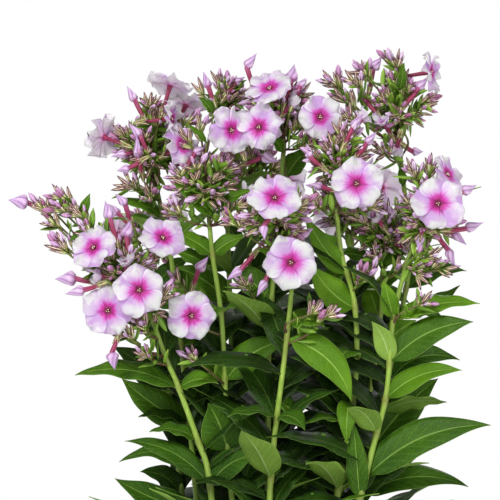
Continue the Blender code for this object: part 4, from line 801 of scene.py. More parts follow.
def flat(values, rows, cols):
    # A value, or values by row or by point, as one for each point
    values = np.asarray(values, float)
    if values.ndim == 1:
        values = values[:, None]
    return np.broadcast_to(values, (rows, cols)).ravel()


def addHull(sheaf, rings, slot, tone=0.5, blush=0.0, across=None, along=(0.0, 1.0), ends=None):
    # A closed skin through rings of points, with a middle point at each end
    rows, sides = rings.shape[:2]
    ends = (rings[0].mean(0), rings[-1].mean(0)) if ends is None else ends
    points = np.concatenate([rings.reshape(-1, 3), ends])
    across = np.abs(2 * np.arange(sides) / sides - 1) if across is None else across
    uv = np.stack(np.broadcast_arrays(across[None, :], np.linspace(*along, rows)[:, None]), -1).reshape(-1, 2)
    uv = np.concatenate([uv, [(0.5, along[0]), (0.5, along[1])]])
    index = np.arange(rows * sides).reshape(rows, sides)
    after = np.roll(index, -1, axis=1)
    quads = np.stack([index[:-1], after[:-1], after[1:], index[1:]], -1).reshape(-1, 4)
    foot = np.stack([np.full(sides, rows * sides), after[0], index[0]], -1)
    head = np.stack([np.full(sides, rows * sides + 1), index[-1], after[-1]], -1)
    tone = flat(tone, rows, sides)
    blush = flat(blush, rows, sides)
    sheaf.add(points, uv, [(quads, slot), (foot, slot), (head, slot)],
              np.append(tone, (tone[0], tone[-1])), np.append(blush, (blush[0], blush[-1])))


def addSheet(sheaf, top, bottom, slots, tone=0.5, blush=0.0):
    # A thin closed sheet between two grids of points: rows run along it, columns across
    rows, cols = top.shape[:2]
    points = np.concatenate([top.reshape(-1, 3), bottom.reshape(-1, 3)])
    across, along = np.linspace(0, 1, cols), np.linspace(0, 1, rows)
    uv = np.stack(np.broadcast_arrays(across[None, :], along[:, None]), -1).reshape(-1, 2)
    index = np.arange(rows * cols).reshape(rows, cols)
    quads = np.stack([index[:-1, :-1], index[:-1, 1:], index[1:, 1:], index[1:, :-1]], -1).reshape(-1, 4)
    edge = np.concatenate([index[0, :-1], index[:-1, -1], index[-1, :0:-1], index[:0:-1, 0]])
    after = np.roll(edge, -1)
    wall = np.stack([after, edge, edge + rows * cols, after + rows * cols], -1)
    tone, blush = flat(tone, rows, cols), flat(blush, rows, cols)
    faces = [(quads, slots[0]), (quads[:, ::-1] + rows * cols, slots[1]), (wall, slots[1])]
    sheaf.add(points, np.tile(uv, (2, 1)), faces, np.tile(tone, 2), np.tile(blush, 2))


def unit(vectors):
    return vectors / np.linalg.norm(vectors, axis=-1, keepdims=True)


def array(vector):
    return np.array(tuple(vector), float)


def ringsAlong(points, radii, sides):
    # Rings round a path; a radius in mm by ring, or by ring and side
    points = np.array([tuple(p) for p in points])
    directions = unit(np.gradient(points, axis=0))
    angles = 2 * np.pi * np.arange(sides)[:, None] / sides
    radii = np.asarray(radii, float).reshape(len(points), -1)
    reference = np.array((0.31, 0.87, 0.38))
    rings = []
    for place, direction, radius in zip(points, directions, radii):
        reference = unit(reference - direction * (reference @ direction))
        other = np.cross(direction, reference)
        rings.append(place + (np.cos(angles) * reference + np.sin(angles) * other) * (radius[:, None] * mm))
    return np.array(rings)


def axes(facing):
    # The same up and right as the solid flower has
    start = Vector((0.0, 0.0, 1.0)) if abs(facing.z) < 0.9 else Vector((0.0, 1.0, 0.0))
    up = (start - facing * start.dot(facing)).normalized()
    return up.cross(facing), up


def ringsAbout(origin, axis, profile, sides, turns=0.0):
    # Rings round a straight axis from (radius, distance) pairs in mm, each ring turned by its angle
    axis = Vector(axis).normalized()
    right, up = axes(axis)
    profile = np.array(profile, float)
    angles = 2 * np.pi * np.arange(sides)[None, :] / sides + np.reshape(turns, (-1, 1))
    angles = angles + np.zeros((len(profile), 1))
    radius = profile[:, :1] * mm
    spread = np.cos(angles)[..., None] * array(up) - np.sin(angles)[..., None] * array(right)
    return array(origin) + radius[..., None] * spread + profile[:, 1, None, None] * mm * array(axis)


def ease(values, low, high):
    share = np.clip((values - low) / (high - low), 0.0, 1.0)
    return share * share * (3 - 2 * share)


# Leaves: lance-shaped blades, folded along a sunken midrib. Sizes in mm, the number of side veins to a
# side and how far they lean, the curves of the outline from foot to tip and where it is widest, and
# the seen heights of the pairs of leaves that the photo doesn't show.
leafLook = {"rows": 36, "cells": 4, "thick": 0.4, "fold": 0.22, "veins": 9.0, "veinSlant": 2.2, "pucker": 0.34,
            "rib": 0.75, "groove": 0.3, "wave": 0.9, "twist": 14.0, "stalk": 0.9, "footCurve": 0.75,
            "tipCurve": 1.15, "widest": 0.395, "fullWidth": 12.0,
            "length": 72.0, "width": 19.5, "spacing": 46.0, "clearOfPair": 14.0, "lowest": -82.0}


def addLeaf(sheaf, root, tip, width, arch, face, key, tone, slots, rows=None, cells=None):
    rows, cells = rows or leafLook["rows"], cells or leafLook["cells"]
    root, tip, face = array(root), array(tip), array(face)
    chord = tip - root
    upright = np.array((0.0, 0.0, 1.0)) if abs(unit(chord)[2]) < 0.9 else face
    rise = unit(upright - chord * (upright @ chord) / (chord @ chord))
    middle = (root + tip) / 2 + rise * (2 * arch * mm)
    t = np.linspace(0.0, 1.0, rows + 1)[:, None]
    place = root * (1 - t) ** 2 + middle * 2 * t * (1 - t) + tip * t * t
    along = unit((middle - root) * (1 - t) + (tip - middle) * t)
    normal = unit(face - along * (along @ face)[:, None])
    side = np.cross(along, normal)
    turn = np.radians(leafLook["twist"] * vary("twist", key)) * (t - 0.3)
    side, normal = side * np.cos(turn) + normal * np.sin(turn), normal * np.cos(turn) - side * np.sin(turn)
    small = min(1.0, width / leafLook["fullWidth"])
    start, end, widest = leafLook["footCurve"], leafLook["tipCurve"], leafLook["widest"]
    share = t ** start * (1 - t) ** end / (widest ** start * (1 - widest) ** end)
    share = share * (0.35 + 0.65 * ease(t, 0.0, 0.14))
    half = np.maximum(share * width / 2, leafLook["stalk"] * small * (1 - t) ** 4 + 0.07)
    u = np.linspace(-1.0, 1.0, 2 * cells + 1)[None, :]
    u = np.sign(u) * np.abs(u) ** 1.2
    x = half * u
    body = np.sin(np.pi * np.clip(t, 0.0, 1.0)) ** 0.6
    pillow = np.abs(np.sin(np.pi * (leafLook["veins"] * t - leafLook["veinSlant"] * np.abs(u)))) ** 0.8 - 0.5
    pillow = pillow * leafLook["pucker"] * body * 4 * np.abs(u) * (1 - np.abs(u))
    phase = vary("phase", key) * 3.0 + np.where(u > 0, 1.4, 0.0)
    count = 2.3 + 0.8 * vary("waves", key)
    wave = np.sin(2 * np.pi * count * t + phase) * u * u * body * leafLook["wave"]
    fold = leafLook["fold"] * (1 + 0.3 * vary("fold", key))
    height = fold * half * (np.sqrt(u * u + 0.01) - 0.1) - 0.09 * half * u ** 4
    height = height + (pillow + wave) * small - leafLook["groove"] * small * np.exp(-(x / 0.7) ** 2) * (1 - t)
    thick = leafLook["thick"] * small * (1 - 0.6 * u ** 4)
    rib = leafLook["rib"] * small * (1 - 0.8 * t) * np.exp(-(x / 0.8) ** 2)
    grid = place[:, None, :] + side[:, None, :] * (x * mm)[..., None]
    top = grid + normal[:, None, :] * (height * mm)[..., None]
    bottom = grid + normal[:, None, :] * ((height - thick - rib) * mm)[..., None]
    addSheet(sheaf, top, bottom, slots, tone + 0.12 * (t - 0.5))
    return root


# Stems: rounded, with four faint ribs and a swollen, darker joint at each pair of leaves
stemLook = {"base": 2.5, "tip": 1.4, "sides": 12, "step": 4.5, "rib": 0.045, "joint": 0.24, "jointReach": 2.6,
            "buried": 40.0, "straight": 12.0, "bend": 38.0}


def addStem(sheaf, number, roots):
    path = paths["stem", number]
    count = len(path) - 1
    taper = stemLook["base"] - stemLook["tip"]
    radii = [stemLook["tip"] + taper * (1 - max(0, i - 1) / count) ** 2.2 for i in range(count + 1)]
    fine, radii = refine(path, radii, stemLook["step"])
    heights = np.array([p.z / mm for p in fine])
    joint = np.zeros(len(fine))
    for root in roots:
        joint = np.maximum(joint, np.exp(-((heights - root[2] / mm) / stemLook["jointReach"]) ** 2))
    sides = stemLook["sides"]
    angles = 2 * np.pi * np.arange(sides) / sides
    ribs = 1 + stemLook["rib"] * np.cos(4 * angles)
    size = np.array(radii)[:, None] * ribs[None, :] * (1 + stemLook["joint"] * joint)[:, None]
    # Painted shade in the stem's tone: stems that end further back are painted darker, and the lowest part darker
    # still; the top also darkens towards its head's stalk
    shade = min(1.0, max(0.4, 1.0 - (path[-1].y / mm + 20) / 110))
    low = ease(-np.array([seenHeight(p) for p in fine]), -60.0, 20.0)
    tone = shade * (1 - 0.3 * ease(np.linspace(0, 1, len(fine)), 0.8, 1.0)) * (1 - 0.25 * low)
    addHull(sheaf, ringsAlong(fine, size, sides), headSlots["stem"], tone, joint)


def leafTone(root, key, turn=0.8):
    # Painted light and shade in a leaf's tone: higher leaves and those that face the light are painted brighter,
    # and those deep in the plant are painted darker, as shade falls there; the rest of the tone differs at random
    depth = min(1.0, max(0.0, (root[1] / mm + 30) / 90))
    high = min(1.0, max(-0.5, (seenHeight(root) - 60) / 60))
    return 0.53 + 0.14 * high + 0.17 * vary("tone", key) + 0.1 * (abs(turn) - 0.7) - 0.42 * depth


def growSeenLeaf(row):
    number, height, across, up, width, arch, reach, turn = row
    root = atHeight(paths["stem", number], height)
    depth = root.y / mm + reach
    options = [(deeper, higher, bend) for higher in shifts(3, 6) for bend in (0, 4, -3)
               for deeper in shifts(6, 12, 19, 27)]
    option = clearOption(options)
    if option is None:
        return
    deeper, higher, bend = option
    end = seen(across, up + higher, depth + deeper)
    level = 1.0 - abs((end - root).normalized().z)
    face = Vector((0.0, -abs(turn), level if turn > 0 else -level)).normalized()
    slots = leafSlots if turn > 0 else leafSlots[::-1]
    key = row[:4]
    leaves[number].append((root, end, width, arch + bend, face, key, leafTone(root, key, turn), slots))


def bladeWays(angle, climb):
    # Along a blade that climbs out from its stem, and square to its upper side
    out = Vector((math.cos(angle), math.sin(angle), 0.0))
    return (out * math.cos(climb) + Vector((0, 0, math.sin(climb))),
            Vector((0, 0, 1)) * math.cos(climb) - out * math.sin(climb))


def growPairs(number):
    path = paths["stem", number]
    taken = [row[1] for row in seenLeaves if row[0] == number]
    height = leafLook["lowest"] + 8 * vary("lowest", number)
    top = seenHeight(path[-1]) - 14
    pair = 0
    while height < top:
        if all(abs(height - other) > leafLook["clearOfPair"] for other in taken):
            for side in (0, 1):
                growRuleLeaf(path, number, pair, side, height)
        pair += 1
        height += leafLook["spacing"] + 5 * vary("space", number, pair)


def growRuleLeaf(path, number, pair, side, height):
    root = atHeight(path, height)
    key = (number, pair, side)
    start = vary("turn", number) * 180 + 90 * pair + 180 * side
    upper = min(1.0, max(0.0, (seenHeight(path[-1]) - height) / 90))
    length = leafLook["length"] * (0.6 + 0.4 * upper) * (1 + 0.12 * vary("length", *key))
    width = leafLook["width"] * (0.62 + 0.38 * upper) * (1 + 0.15 * vary("width", *key))
    arch = 6 + 3 * vary("arch", *key)
    options = [(turn, lift, share) for share in (1.0, 0.8) for lift in (0, 12, -14, 24, -28)
               for turn in shifts(12, 25, 40)]
    option = clearOption(options)
    if option is None:
        return
    turn, lift, share = option
    angle = math.radians(start + turn)
    climb = math.radians(26 + 10 * vary("climb", *key) + lift)
    way, face = bladeWays(angle, climb)
    tip = root + way * (length * share * mm)
    leaves[number].append((root, tip, width * share, arch, face, key, leafTone(root, key), leafSlots))


# Leaves between the pairs, which close the view through the plant: the seen heights where they start
# and end, the higher end of those behind the middle of the photo, the bounds that their tips keep
# to, and how far a blade keeps off the others
innerLook = {"from": -66.0, "to": 112.0, "inMiddle": 158.0, "step": 9.5, "length": 54.0, "width": 18.0,
             "left": -64.0, "leftHighUp": -12.0, "right": 86.0, "back": 108.0, "clear": 3.6, "arch": 6.0,
             "attempts": 14, "rows": 12, "cells": 2}


def bladePoints(root, tip, arch, shares):
    return [root.lerp(tip, t) + Vector((0, 0, 4 * arch * t * (1 - t) * mm)) for t in shares]


def growInnerLeaves():
    shares = (0.2, 0.4, 0.6, 0.8, 1.0)
    taken = [p for number in stems for p in smooth(paths["stem", number], 6.0)]
    for rows in leaves.values():
        for leaf in rows:
            taken += bladePoints(leaf[0], leaf[1], leaf[3], shares)
    taken = np.array([tuple(p) for p in taken])
    for number in stems:
        path = paths["stem", number]
        middle = 0 < path[-1].x / mm < 82
        top = min(seenHeight(path[-1]) - 25, innerLook["inMiddle"] if middle else innerLook["to"])
        height = innerLook["from"] + 6 * vary("inner", number)
        index = 0
        while height < top:
            root = atHeight(path, height)
            for attempt in range(innerLook["attempts"]):
                key = ("inner", number, index, attempt)
                angle = goldenAngle * (index + 3.7 * attempt) + number
                way, face = bladeWays(angle, math.radians(24 + 22 * vary("climb", key)))
                length = innerLook["length"] * (1 + 0.22 * vary("length", key))
                tip = root + way * (length * mm)
                across = tip.x / mm / (1 + tip.y / mm / photo["distance"])
                low = innerLook["leftHighUp"] if height > innerLook["to"] else innerLook["left"]
                if not low < across < innerLook["right"] or tip.y / mm > innerLook["back"]:
                    continue
                if math.sin(angle) < -0.45:  # none stands out towards the photo's side
                    continue
                blade = bladePoints(root, tip, innerLook["arch"], shares[1:])
                blade = np.array([tuple(p) for p in blade])
                near = np.linalg.norm(blade[:, None, :] - taken[None, :, :], axis=2).min() / mm
                if near > innerLook["clear"] and not hitsBloom(tip):
                    width = innerLook["width"] * length / innerLook["length"]
                    # Painted shade: these leaves are coloured almost black, and darker further back, as the shade
                    # deep in the plant
                    tone = 0.03 + 0.1 * vary("tone", key) - 0.002 * root.y / mm
                    innerLeaves[number].append((
                        root, tip, width, innerLook["arch"], face + Vector((0, -0.5, 0)), key, tone, leafSlots,
                        innerLook["rows"], innerLook["cells"]))
                    taken = np.concatenate([taken, blade])
                    break
            index += 1
            height += innerLook["step"]


def growHeadLeaves(number):
    # Small leaves along the stalk inside a flower head
    path = paths["head", number]
    count = headLook["leaves"]
    for index in range(count):
        key = ("headLeaf", number, index)
        low, high = seenHeight(path[0]), seenHeight(path[-1])
        root = atHeight(path, low + (high - low) * index / count)
        for attempt in range(4):
            angle = goldenAngle * (index + attempt * 1.6) + 2.1 * number
            way, face = bladeWays(angle, math.radians(28 + 14 * vary("climb", key)))
            length = headLook["leafLength"] * (1 - 0.55 * index / count) * (1 + 0.2 * vary("length", key))
            tip = root + way * (length * mm)
            middle, sizes = heads[number][:2]
            beside = ((tip.x / mm - middle[0]) / sizes[0]) ** 2 + ((tip.y / mm - middle[2]) / sizes[2]) ** 2
            if beside < 0.85 and not hitsBloom(tip, root.lerp(tip, 0.6)):
                addLeaf(headSheaves[number], root, tip, 0.25 * length, 0.1 * length, face, key,
                        0.5 + 0.15 * vary("tone", key), leafSlots, 10, 2)
                break


# Flower heads: wiry branches, calyces and buds. The slots of a stem's and a head's finishes, and the
# sizes in mm and numbers of a head's parts; a head in "fewer" has that many fewer extra branches.
headSlots = {"branch": 0, "calyx": 1, "bud": 2, "tube": 3, "leaf": 4, "leafUnder": 5, "petal": 6,
             "petalBack": 7, "stem": 8}
leafSlots = (headSlots["leaf"], headSlots["leafUnder"])
headLook = {"root": 0.55, "branch": 0.75, "calyxLength": 8.0, "closedCalyx": 6.4, "tubeLength": 17.0,
            "budLength": 11.5, "budSpacing": 2.2, "pull": 0.35, "extraBranches": 13, "fewer": {9: 5},
            "extraBuds": 5, "bracts": 6, "leaves": 7, "leafLength": 23.0, "stalkTip": 1.1, "tubeStart": 1.25,
            "tubeEnd": 1.6}


def addBranch(sheaf, root, end, bend, thin=headLook["root"], thick=headLook["branch"], sides=6):
    points = [root, (root + end) / 2 + bend, end]
    sag = (end - root).length * 0.08
    if bend.length == 0:
        points[1] = points[1] + Vector((0, 0, -sag))
    fine, radii = refine(points, [thick, (thin + thick) / 2, thin], 3.5)
    rings = ringsAlong(fine, radii, sides)
    addHull(sheaf, rings, headSlots["branch"], 0.5, np.linspace(0.9, 0.25, len(fine)))


def addCalyx(sheaf, base, top, key, spread=1.0):
    # A ribbed cup, with five pointed teeth that stand off the tube
    axis = (top - base).normalized()
    length = (top - base).length / mm
    sides = 10
    ribs = np.array([1.06, 0.9] * 5)
    profile = [(0.7, 0.0), (1.2, 0.14 * length), (1.55, 0.36 * length), (1.72, 0.6 * length)]
    rings = ringsAbout(base, axis, profile, sides)
    middle = rings.mean(1, keepdims=True)
    rings = middle + (rings - middle) * ribs[None, :, None]
    addHull(sheaf, rings, headSlots["calyx"], 0.5, np.array([[0.0, 1.0] * 5] * 4), np.array([0.5, 1.0] * 5),
            (0.0, 0.55))
    right, up = (array(v) for v in axes(axis))
    t = np.linspace(0.0, 1.0, 4)[:, None]
    for tooth in range(5):
        angle = 2 * math.pi * tooth / 5
        out = up * math.cos(angle) - right * math.sin(angle)
        side = -up * math.sin(angle) - right * math.cos(angle)
        a = np.linspace(-1.0, 1.0, 3)[None, :]
        reach = 1.66 + spread * (0.75 + 0.25 * vary("tooth", key, tooth)) * t ** 1.6
        rise = (0.56 + 0.52 * t) * length
        half = 1.02 * (1 - t) ** 0.8 + 0.03
        hollow = reach - 0.25 * a * a * (1 - t)
        grid = array(base) + (rise * mm)[..., None] * array(axis) + (hollow * mm)[..., None] * out
        outer = grid + (half * a * mm)[..., None] * side
        inner = outer - out * (0.24 * mm)
        addSheet(sheaf, outer[:, ::-1], inner[:, ::-1], (headSlots["calyx"],) * 2, 0.5, np.abs(a))


def addBract(sheaf):
    # A narrow green bract as long as a bud, up the Z axis
    t = np.linspace(0.0, 1.0, 5)[:, None]
    a = np.array([-1.0, 0.0, 1.0])[None, :]
    half = 1.6 * np.sin(np.pi * np.clip(t * 0.93 + 0.07, 0, 1)) ** 0.8 + 0.04
    rise = headLook["budLength"] * t
    grid = np.stack(np.broadcast_arrays(half * a, 1.4 * t * t + 0.45 * np.abs(a) * half, rise), -1) * mm
    addSheet(sheaf, grid[:, ::-1], grid[:, ::-1] - np.array((0.0, 0.25, 0.0)) * mm, (0, 0), 0.5, 2.0)


# Young buds by their kind: calyx and petals as (radius, distance from the foot) in mm, and how far up
# the finish the calyx reaches. The first kind is closed, and the petals of the others stand out of it.
youngBuds = (
    {"calyx": [(0.4, 0.0), (1.0, 2.2), (1.32, 5.2), (0.72, 9.2)], "upTo": 1.0},
    {"calyx": [(0.4, 0.0), (1.02, 2.4), (1.28, 6.0)], "upTo": 0.55,
     "petals": [(0.9, 4.5), (1.2, 7.9), (0.72, 10.0)]},
    {"calyx": [(0.4, 0.0), (0.95, 2.0), (1.22, 5.2)], "upTo": 0.4,
     "petals": [(0.9, 3.7), (0.95, 6.2), (1.5, 8.2), (0.85, 10.2)]},
)


def addYoungBudShape(sheaf, kind):
    # A young bud up the Z axis: its ribbed calyx and, where they show, its teeth and furled petals
    look = youngBuds[kind]
    across = np.array([0.5, 1.0] * 5)
    point = np.array((0, 0, headLook["budLength"] * mm))
    rings = ringsAbout((0, 0, 0), (0, 0, 1), look["calyx"], 10)
    rings[..., :2] *= np.array([1.12, 0.84] * 5)[None, :, None]
    low = look["calyx"][-1][1]
    tip = np.array((0, 0, low * mm)) if "petals" in look else point
    addHull(sheaf, rings, 0, 0.5, 0.0, across, (0.0, look["upTo"]), (np.zeros(3), tip))
    if "petals" not in look:
        return
    for tooth in range(5):
        angle = 2 * math.pi * tooth / 5
        out = np.array((0.0, 1.0, 0.0)) * math.cos(angle) - np.array((1.0, 0.0, 0.0)) * math.sin(angle)
        side = np.cross((0, 0, 1), out)
        foot = np.array([out * 1.38 + side * 0.5, out * 1.0, out * 1.38 - side * 0.5]) + (0, 0, low - 0.4)
        points = np.concatenate([foot, [out * 1.75 + np.array((0, 0, low + 3.2))]]) * mm
        faces = np.array([(0, 1, 2), (0, 3, 1), (1, 3, 2), (2, 3, 0)])
        sheaf.add(points, np.array([(0.9, 0.6), (0.5, 0.6), (0.9, 0.6), (0.5, 1.0)]), [(faces, 0)], 0.5, 0.0)
    turns = np.linspace(0.0, 0.9, len(look["petals"]))
    rings = ringsAbout((0, 0, 0), (0, 0, 1), look["petals"], 10, turns)
    rings[..., :2] *= np.array([1.06, 0.94] * 5)[None, :, None]
    addHull(sheaf, rings, 0, 0.5, 1.0, across, (0.0, 1.0), (rings[0].mean(0), point))


# Closed bud: how far up (0 to 1) it has which share of its radius
budOutline = ((0.0, 0.42), (0.04, 0.70), (0.10, 0.92), (0.17, 1.0), (0.26, 0.97), (0.38, 0.84), (0.52, 0.65),
              (0.66, 0.46), (0.79, 0.28), (0.91, 0.12), (1.0, 0.02))


def addTurban(sheaf, waist, point, radius, key):
    # Five petals furled in a spiral, each fold a step with a dark line at its foot
    length = (point - waist).length / mm
    profile = [(0.87 * radius * share, t * length) for t, share in budOutline]
    turns = np.array([1.5 * t for t, share in budOutline])
    rings = ringsAbout(waist, point - waist, profile, 25, turns)
    steps = np.tile(np.array([-0.12, -0.02, 0.05, 0.07, 0.09]), 5)
    grow = 1 + steps[None, :] * np.array([min(1.0, 5 * t) for t, share in budOutline])[:, None]
    middle = rings.mean(1, keepdims=True)
    rings = middle + (rings - middle) * grow[..., None]
    blush = np.tile(np.array([1.0, 0.25, 0.0, 0.0, 0.35]), 5)[None, :] + np.zeros((len(profile), 1))
    addHull(sheaf, rings, headSlots["bud"], 0.45 + 0.3 * vary("pale", key), blush)


def addTube(sheaf, start, end, bow=0.0):
    first, last = headLook["tubeStart"], headLook["tubeEnd"]
    middle = (start + end) / 2 + Vector((0, 0, -bow * mm))
    fine, radii = refine([start, middle, end], [first, (first + last) / 2, last], 3.6)
    addHull(sheaf, ringsAlong(fine, radii, 12), headSlots["tube"], 0.5, 0.0, np.array([0.5, 1.0] * 6))


# Open flowers: five overlapping lobes that leave the tube steeply and lie flat, with a slight recurve.
# Inner radius, depth, thickness, overlap, crease, waves and ruffles in mm, angles in degrees, and the
# width as a share of the flower's radius. Half-open flowers have the same lobes, held forward.
flowerLook = {"rows": 14, "cols": 13, "inner": 1.45, "depth": 1.6, "from": 48.0, "to": 86.0, "reflex": 13.0,
              "wide": 0.535, "overlap": 0.95, "thick": 0.34, "crease": 0.35, "wave": 1.15}
funnelLook = {"rows": 8, "cols": 7, "inner": 1.3, "depth": 6.0, "from": 10.0, "to": 24.0, "reflex": 34.0,
              "wide": 0.6, "overlap": 0.45, "thick": 0.3, "crease": 0.15, "wave": 0.3}
# How much the lobes differ among themselves, and their rounded ends and points, as shares
lobeSpread = {"tilt": 1.3, "reach": 0.06, "wide": 0.05, "round": 0.08, "point": 0.06, "turn": 3}
lobeShape = {"neck": 0.64, "round": 0.15, "point": 0.04, "ruffle": 0.6, "cup": 0.5}


def addLobes(sheaf, centre, facing, radius, spin, look, key, slots, tone, crumple=1.0):
    r = np.linspace(0.0, 1.0, look["rows"])[:, None]
    a = np.linspace(-1.0, 1.0, look["cols"])[None, :]
    right, up = (array(v) for v in axes(facing))
    facing = array(facing)
    for lobe in range(5):
        tag = (key, lobe)
        tilt = look["reflex"] * (1 + lobeSpread["tilt"] * crumple * vary("tilt", tag))
        lean = np.radians(look["from"] + (look["to"] - look["from"]) * ease(r, 0.0, 0.24) + tilt * r * r)[:, 0]
        out = np.concatenate([[0.0], np.cumsum((np.sin(lean)[1:] + np.sin(lean)[:-1]) / 2)])
        rise = np.concatenate([[0.0], np.cumsum((np.cos(lean)[1:] + np.cos(lean)[:-1]) / 2)])
        reach = radius * (1 + lobeSpread["reach"] * vary("reach", tag))
        scale = (reach - look["inner"]) / out.max()
        rho = look["inner"] + out[:, None] * scale
        zeta = rise[:, None] * scale - look["depth"]
        wide = look["wide"] * radius * (1 + lobeSpread["wide"] * vary("wide", tag))
        neck = lobeShape["neck"]
        narrow = look["inner"] * neck
        half = narrow + (wide - narrow) * np.sin(np.pi / 2 * np.minimum(1.0, r / neck)) ** 1.1
        half = half * (1 - 0.3 * np.clip((r - neck) / 0.36, 0, 1) ** 2.3)
        rounded = lobeShape["round"] + lobeSpread["round"] * vary("round", tag)
        pointed = lobeShape["point"] + lobeSpread["point"] * vary("point", tag)
        rho = rho - rounded * radius * np.abs(a) ** 2.3 * r ** 4
        rho = rho + pointed * radius * np.exp(-(a / 0.3) ** 2) * r ** 7
        crease = look["crease"] * np.exp(-(a / 0.13) ** 2) * np.minimum(1, 3 * r) * (1 - 0.6 * r)
        lift = -look["overlap"] * a * ease(r, 0.05, 0.5) - crease
        lift = lift + crumple * look["wave"] * np.sin(4.2 * a + 3 * vary("wave", tag)) * r ** 2.2
        lift = lift + lobeShape["ruffle"] * np.sin(9 * a + 3 * vary("ruffle", tag)) * r ** 5
        lift = lift - lobeShape["cup"] * a * a * r
        angle = math.radians(spin + 72 * lobe + lobeSpread["turn"] * vary("turn", tag))
        way = up * math.cos(angle) + right * math.sin(angle)
        side = right * math.cos(angle) - up * math.sin(angle)
        normal = np.sin(lean)[:, None] * facing - np.cos(lean)[:, None] * way
        grid = array(centre) + (rho * mm)[..., None] * way + (half * a * mm)[..., None] * side
        grid = grid + (zeta * mm)[..., None] * facing
        top = grid + normal[:, None, :] * (lift * mm)[..., None]
        thick = look["thick"] * (1 - 0.5 * r ** 3)
        bottom = top - normal[:, None, :] * (thick * mm)[..., None]
        far = np.sqrt(rho * rho + (half * a) ** 2) / radius
        addSheet(sheaf, top, bottom, slots, tone, far)


def addOpenFlower(sheaf, centre, facing, diameter, spin, key, crumple):
    # Slots here: petal above, petal below, tube, anther
    tone = 0.5 + 0.5 * vary("tone", key)
    addLobes(sheaf, centre, facing, diameter / 2, spin, flowerLook, key, (0, 1), tone, crumple)
    length = headLook["tubeLength"]
    bow = 0.5 * vary("bow", key)
    profile = [(1.05, -length), (1.15, -length + 3), (1.25, -9.0), (1.4, -4.5), (1.65, -2.6), (1.78, -1.7),
               (1.5, -1.55), (1.2, -2.4), (0.9, -4.2)]
    rings = ringsAbout(centre, facing, profile, 12)
    sway = np.array([math.sin(math.pi * -row[1] / length) for row in profile])
    right, up = axes(facing)
    rings = rings + (sway * bow * mm)[:, None, None] * array(right)
    throat = np.array([0, 0, 0, 0, 0, 0, 0.6, 1, 1.0])
    addHull(sheaf, rings, 2, 0.5, throat, np.array([0.5, 1.0] * 6), (0.0, 1.0))
    for k in range(3):
        angle = 2.1 * k + 3 * vary("anther", key)
        beside = (up * math.cos(angle) + right * math.sin(angle)) * (0.7 * mm)
        spot = centre + beside + facing * ((-1.3 + 0.3 * k) * mm)
        lean = facing + right * 0.3 * vary("lean", key, k)
        addHull(sheaf, ringsAbout(spot, lean, [(0.16, -0.5), (0.36, -0.2), (0.36, 0.2), (0.16, 0.5)], 6), 3)


def growFlower(index):
    kind, number, middle, facing, diameter = flowers[index]
    facing = Vector(facing).normalized()
    spin = 36.0 * vary("spin", index)
    shift = clearOption((0, -4, 4, -8, 8, -12, 12, -16, 16, -22, 22))
    centre = seen(middle[0], middle[1], middle[2] + shift)
    blooms.append((centre, facing, diameter))
    sheaf = Sheaf()
    addOpenFlower(sheaf, centre, facing, diameter, spin, index, crumpled.get(index, 1.0))
    flowerSheaves.append(sheaf)
    top = centre - facing * ((headLook["tubeLength"] + 0.3) * mm)
    base = top - facing * (headLook["calyxLength"] * mm)
    root = carrierRoot(kind, number, base)
    bend = clearOption(bends())
    if bend is None:
        return
    head = sheafOf(kind, number)
    addBranch(head, root, base, bend)
    addCalyx(head, base, top + facing * (1.2 * mm), ("open", index))


def growBud(index):
    kind, number, tip, neck, end, radius = buds[index]
    deep = 0.35 if number < 11 else -0.35

    def depthAt(across, height):
        if kind == "head":
            return frontDepth(number, across, height)
        place = atHeight(paths[kind, number], height)
        return place.y / mm - 0.6 * abs(across - place.x / mm)

    depths = [depthAt(*spot) for spot in (tip, neck, end)]
    inner = depths[2] + deep * 18 if kind == "head" else depths[2]
    option = clearOption([(shift, bend) for shift in shifts(4, 8, 13) for bend in bends()[:7]])
    if option is None:
        return
    shift, bend = option
    point = seen(*tip, depths[0] + shift)
    waist = seen(*neck, (depths[0] + inner) / 2 + shift)
    base = seen(*end, inner + shift)
    heading = (waist - base).normalized()
    low = base - heading * (headLook["closedCalyx"] * mm)
    head = sheafOf(kind, number)
    addBranch(head, carrierRoot(kind, number, low), low, bend)
    addCalyx(head, low, base + (base - low) * 0.18, ("bud", index), 0.7)
    addTube(head, base - heading * (2 * mm), waist, 0.4)
    addTurban(head, waist - (point - waist).normalized() * (0.5 * mm), point, radius, index)


def growFunnel(index):
    kind, number, mouth, end = funnels[index]
    outer = frontDepth(number, *mouth)
    inner = frontDepth(number, *end) + 5
    option = clearOption([(shift, bend) for shift in shifts(4, 8, 13) for bend in bends()[:7]])
    if option is None:
        return
    shift, bend = option
    lip = seen(*mouth, outer + shift)
    base = seen(*end, inner + shift)
    heading = (lip - base).normalized()
    low = base - heading * (headLook["closedCalyx"] * mm)
    neck = lip - heading * (6.0 * mm)
    head = sheafOf(kind, number)
    addBranch(head, carrierRoot(kind, number, low), low, bend)
    addCalyx(head, low, base + heading * (1.2 * mm), ("funnel", index), 0.7)
    addTube(head, base - heading * (2 * mm), neck + heading * (0.6 * mm))
    addLobes(head, lip, heading, 4.9, 36 * vary("funnel", index), funnelLook, ("funnel", index),
             (headSlots["petal"], headSlots["petalBack"]), 0.2)


def branchHeading(index, count, number):
    up = 0.95 - 1.5 * (index + 0.5) / count
    angle = goldenAngle * index + number * 1.7
    level = math.sqrt(1.0 - up * up)
    return Vector((level * math.cos(angle), level * math.sin(angle), up))


def addYoungBud(spray, start, way, length, key, kind=None):
    kind = random.Random(repr(("kind", key))).choice((0, 0, 0, 1, 1, 2)) if kind is None else kind
    length *= 1.22 if kind == 2 else 1.0
    size = length / headLook["budLength"] / mm
    spray.append((start, way, size, kind, 0.5 + 0.5 * vary("mauve", key), 3 * vary("roll", key)))


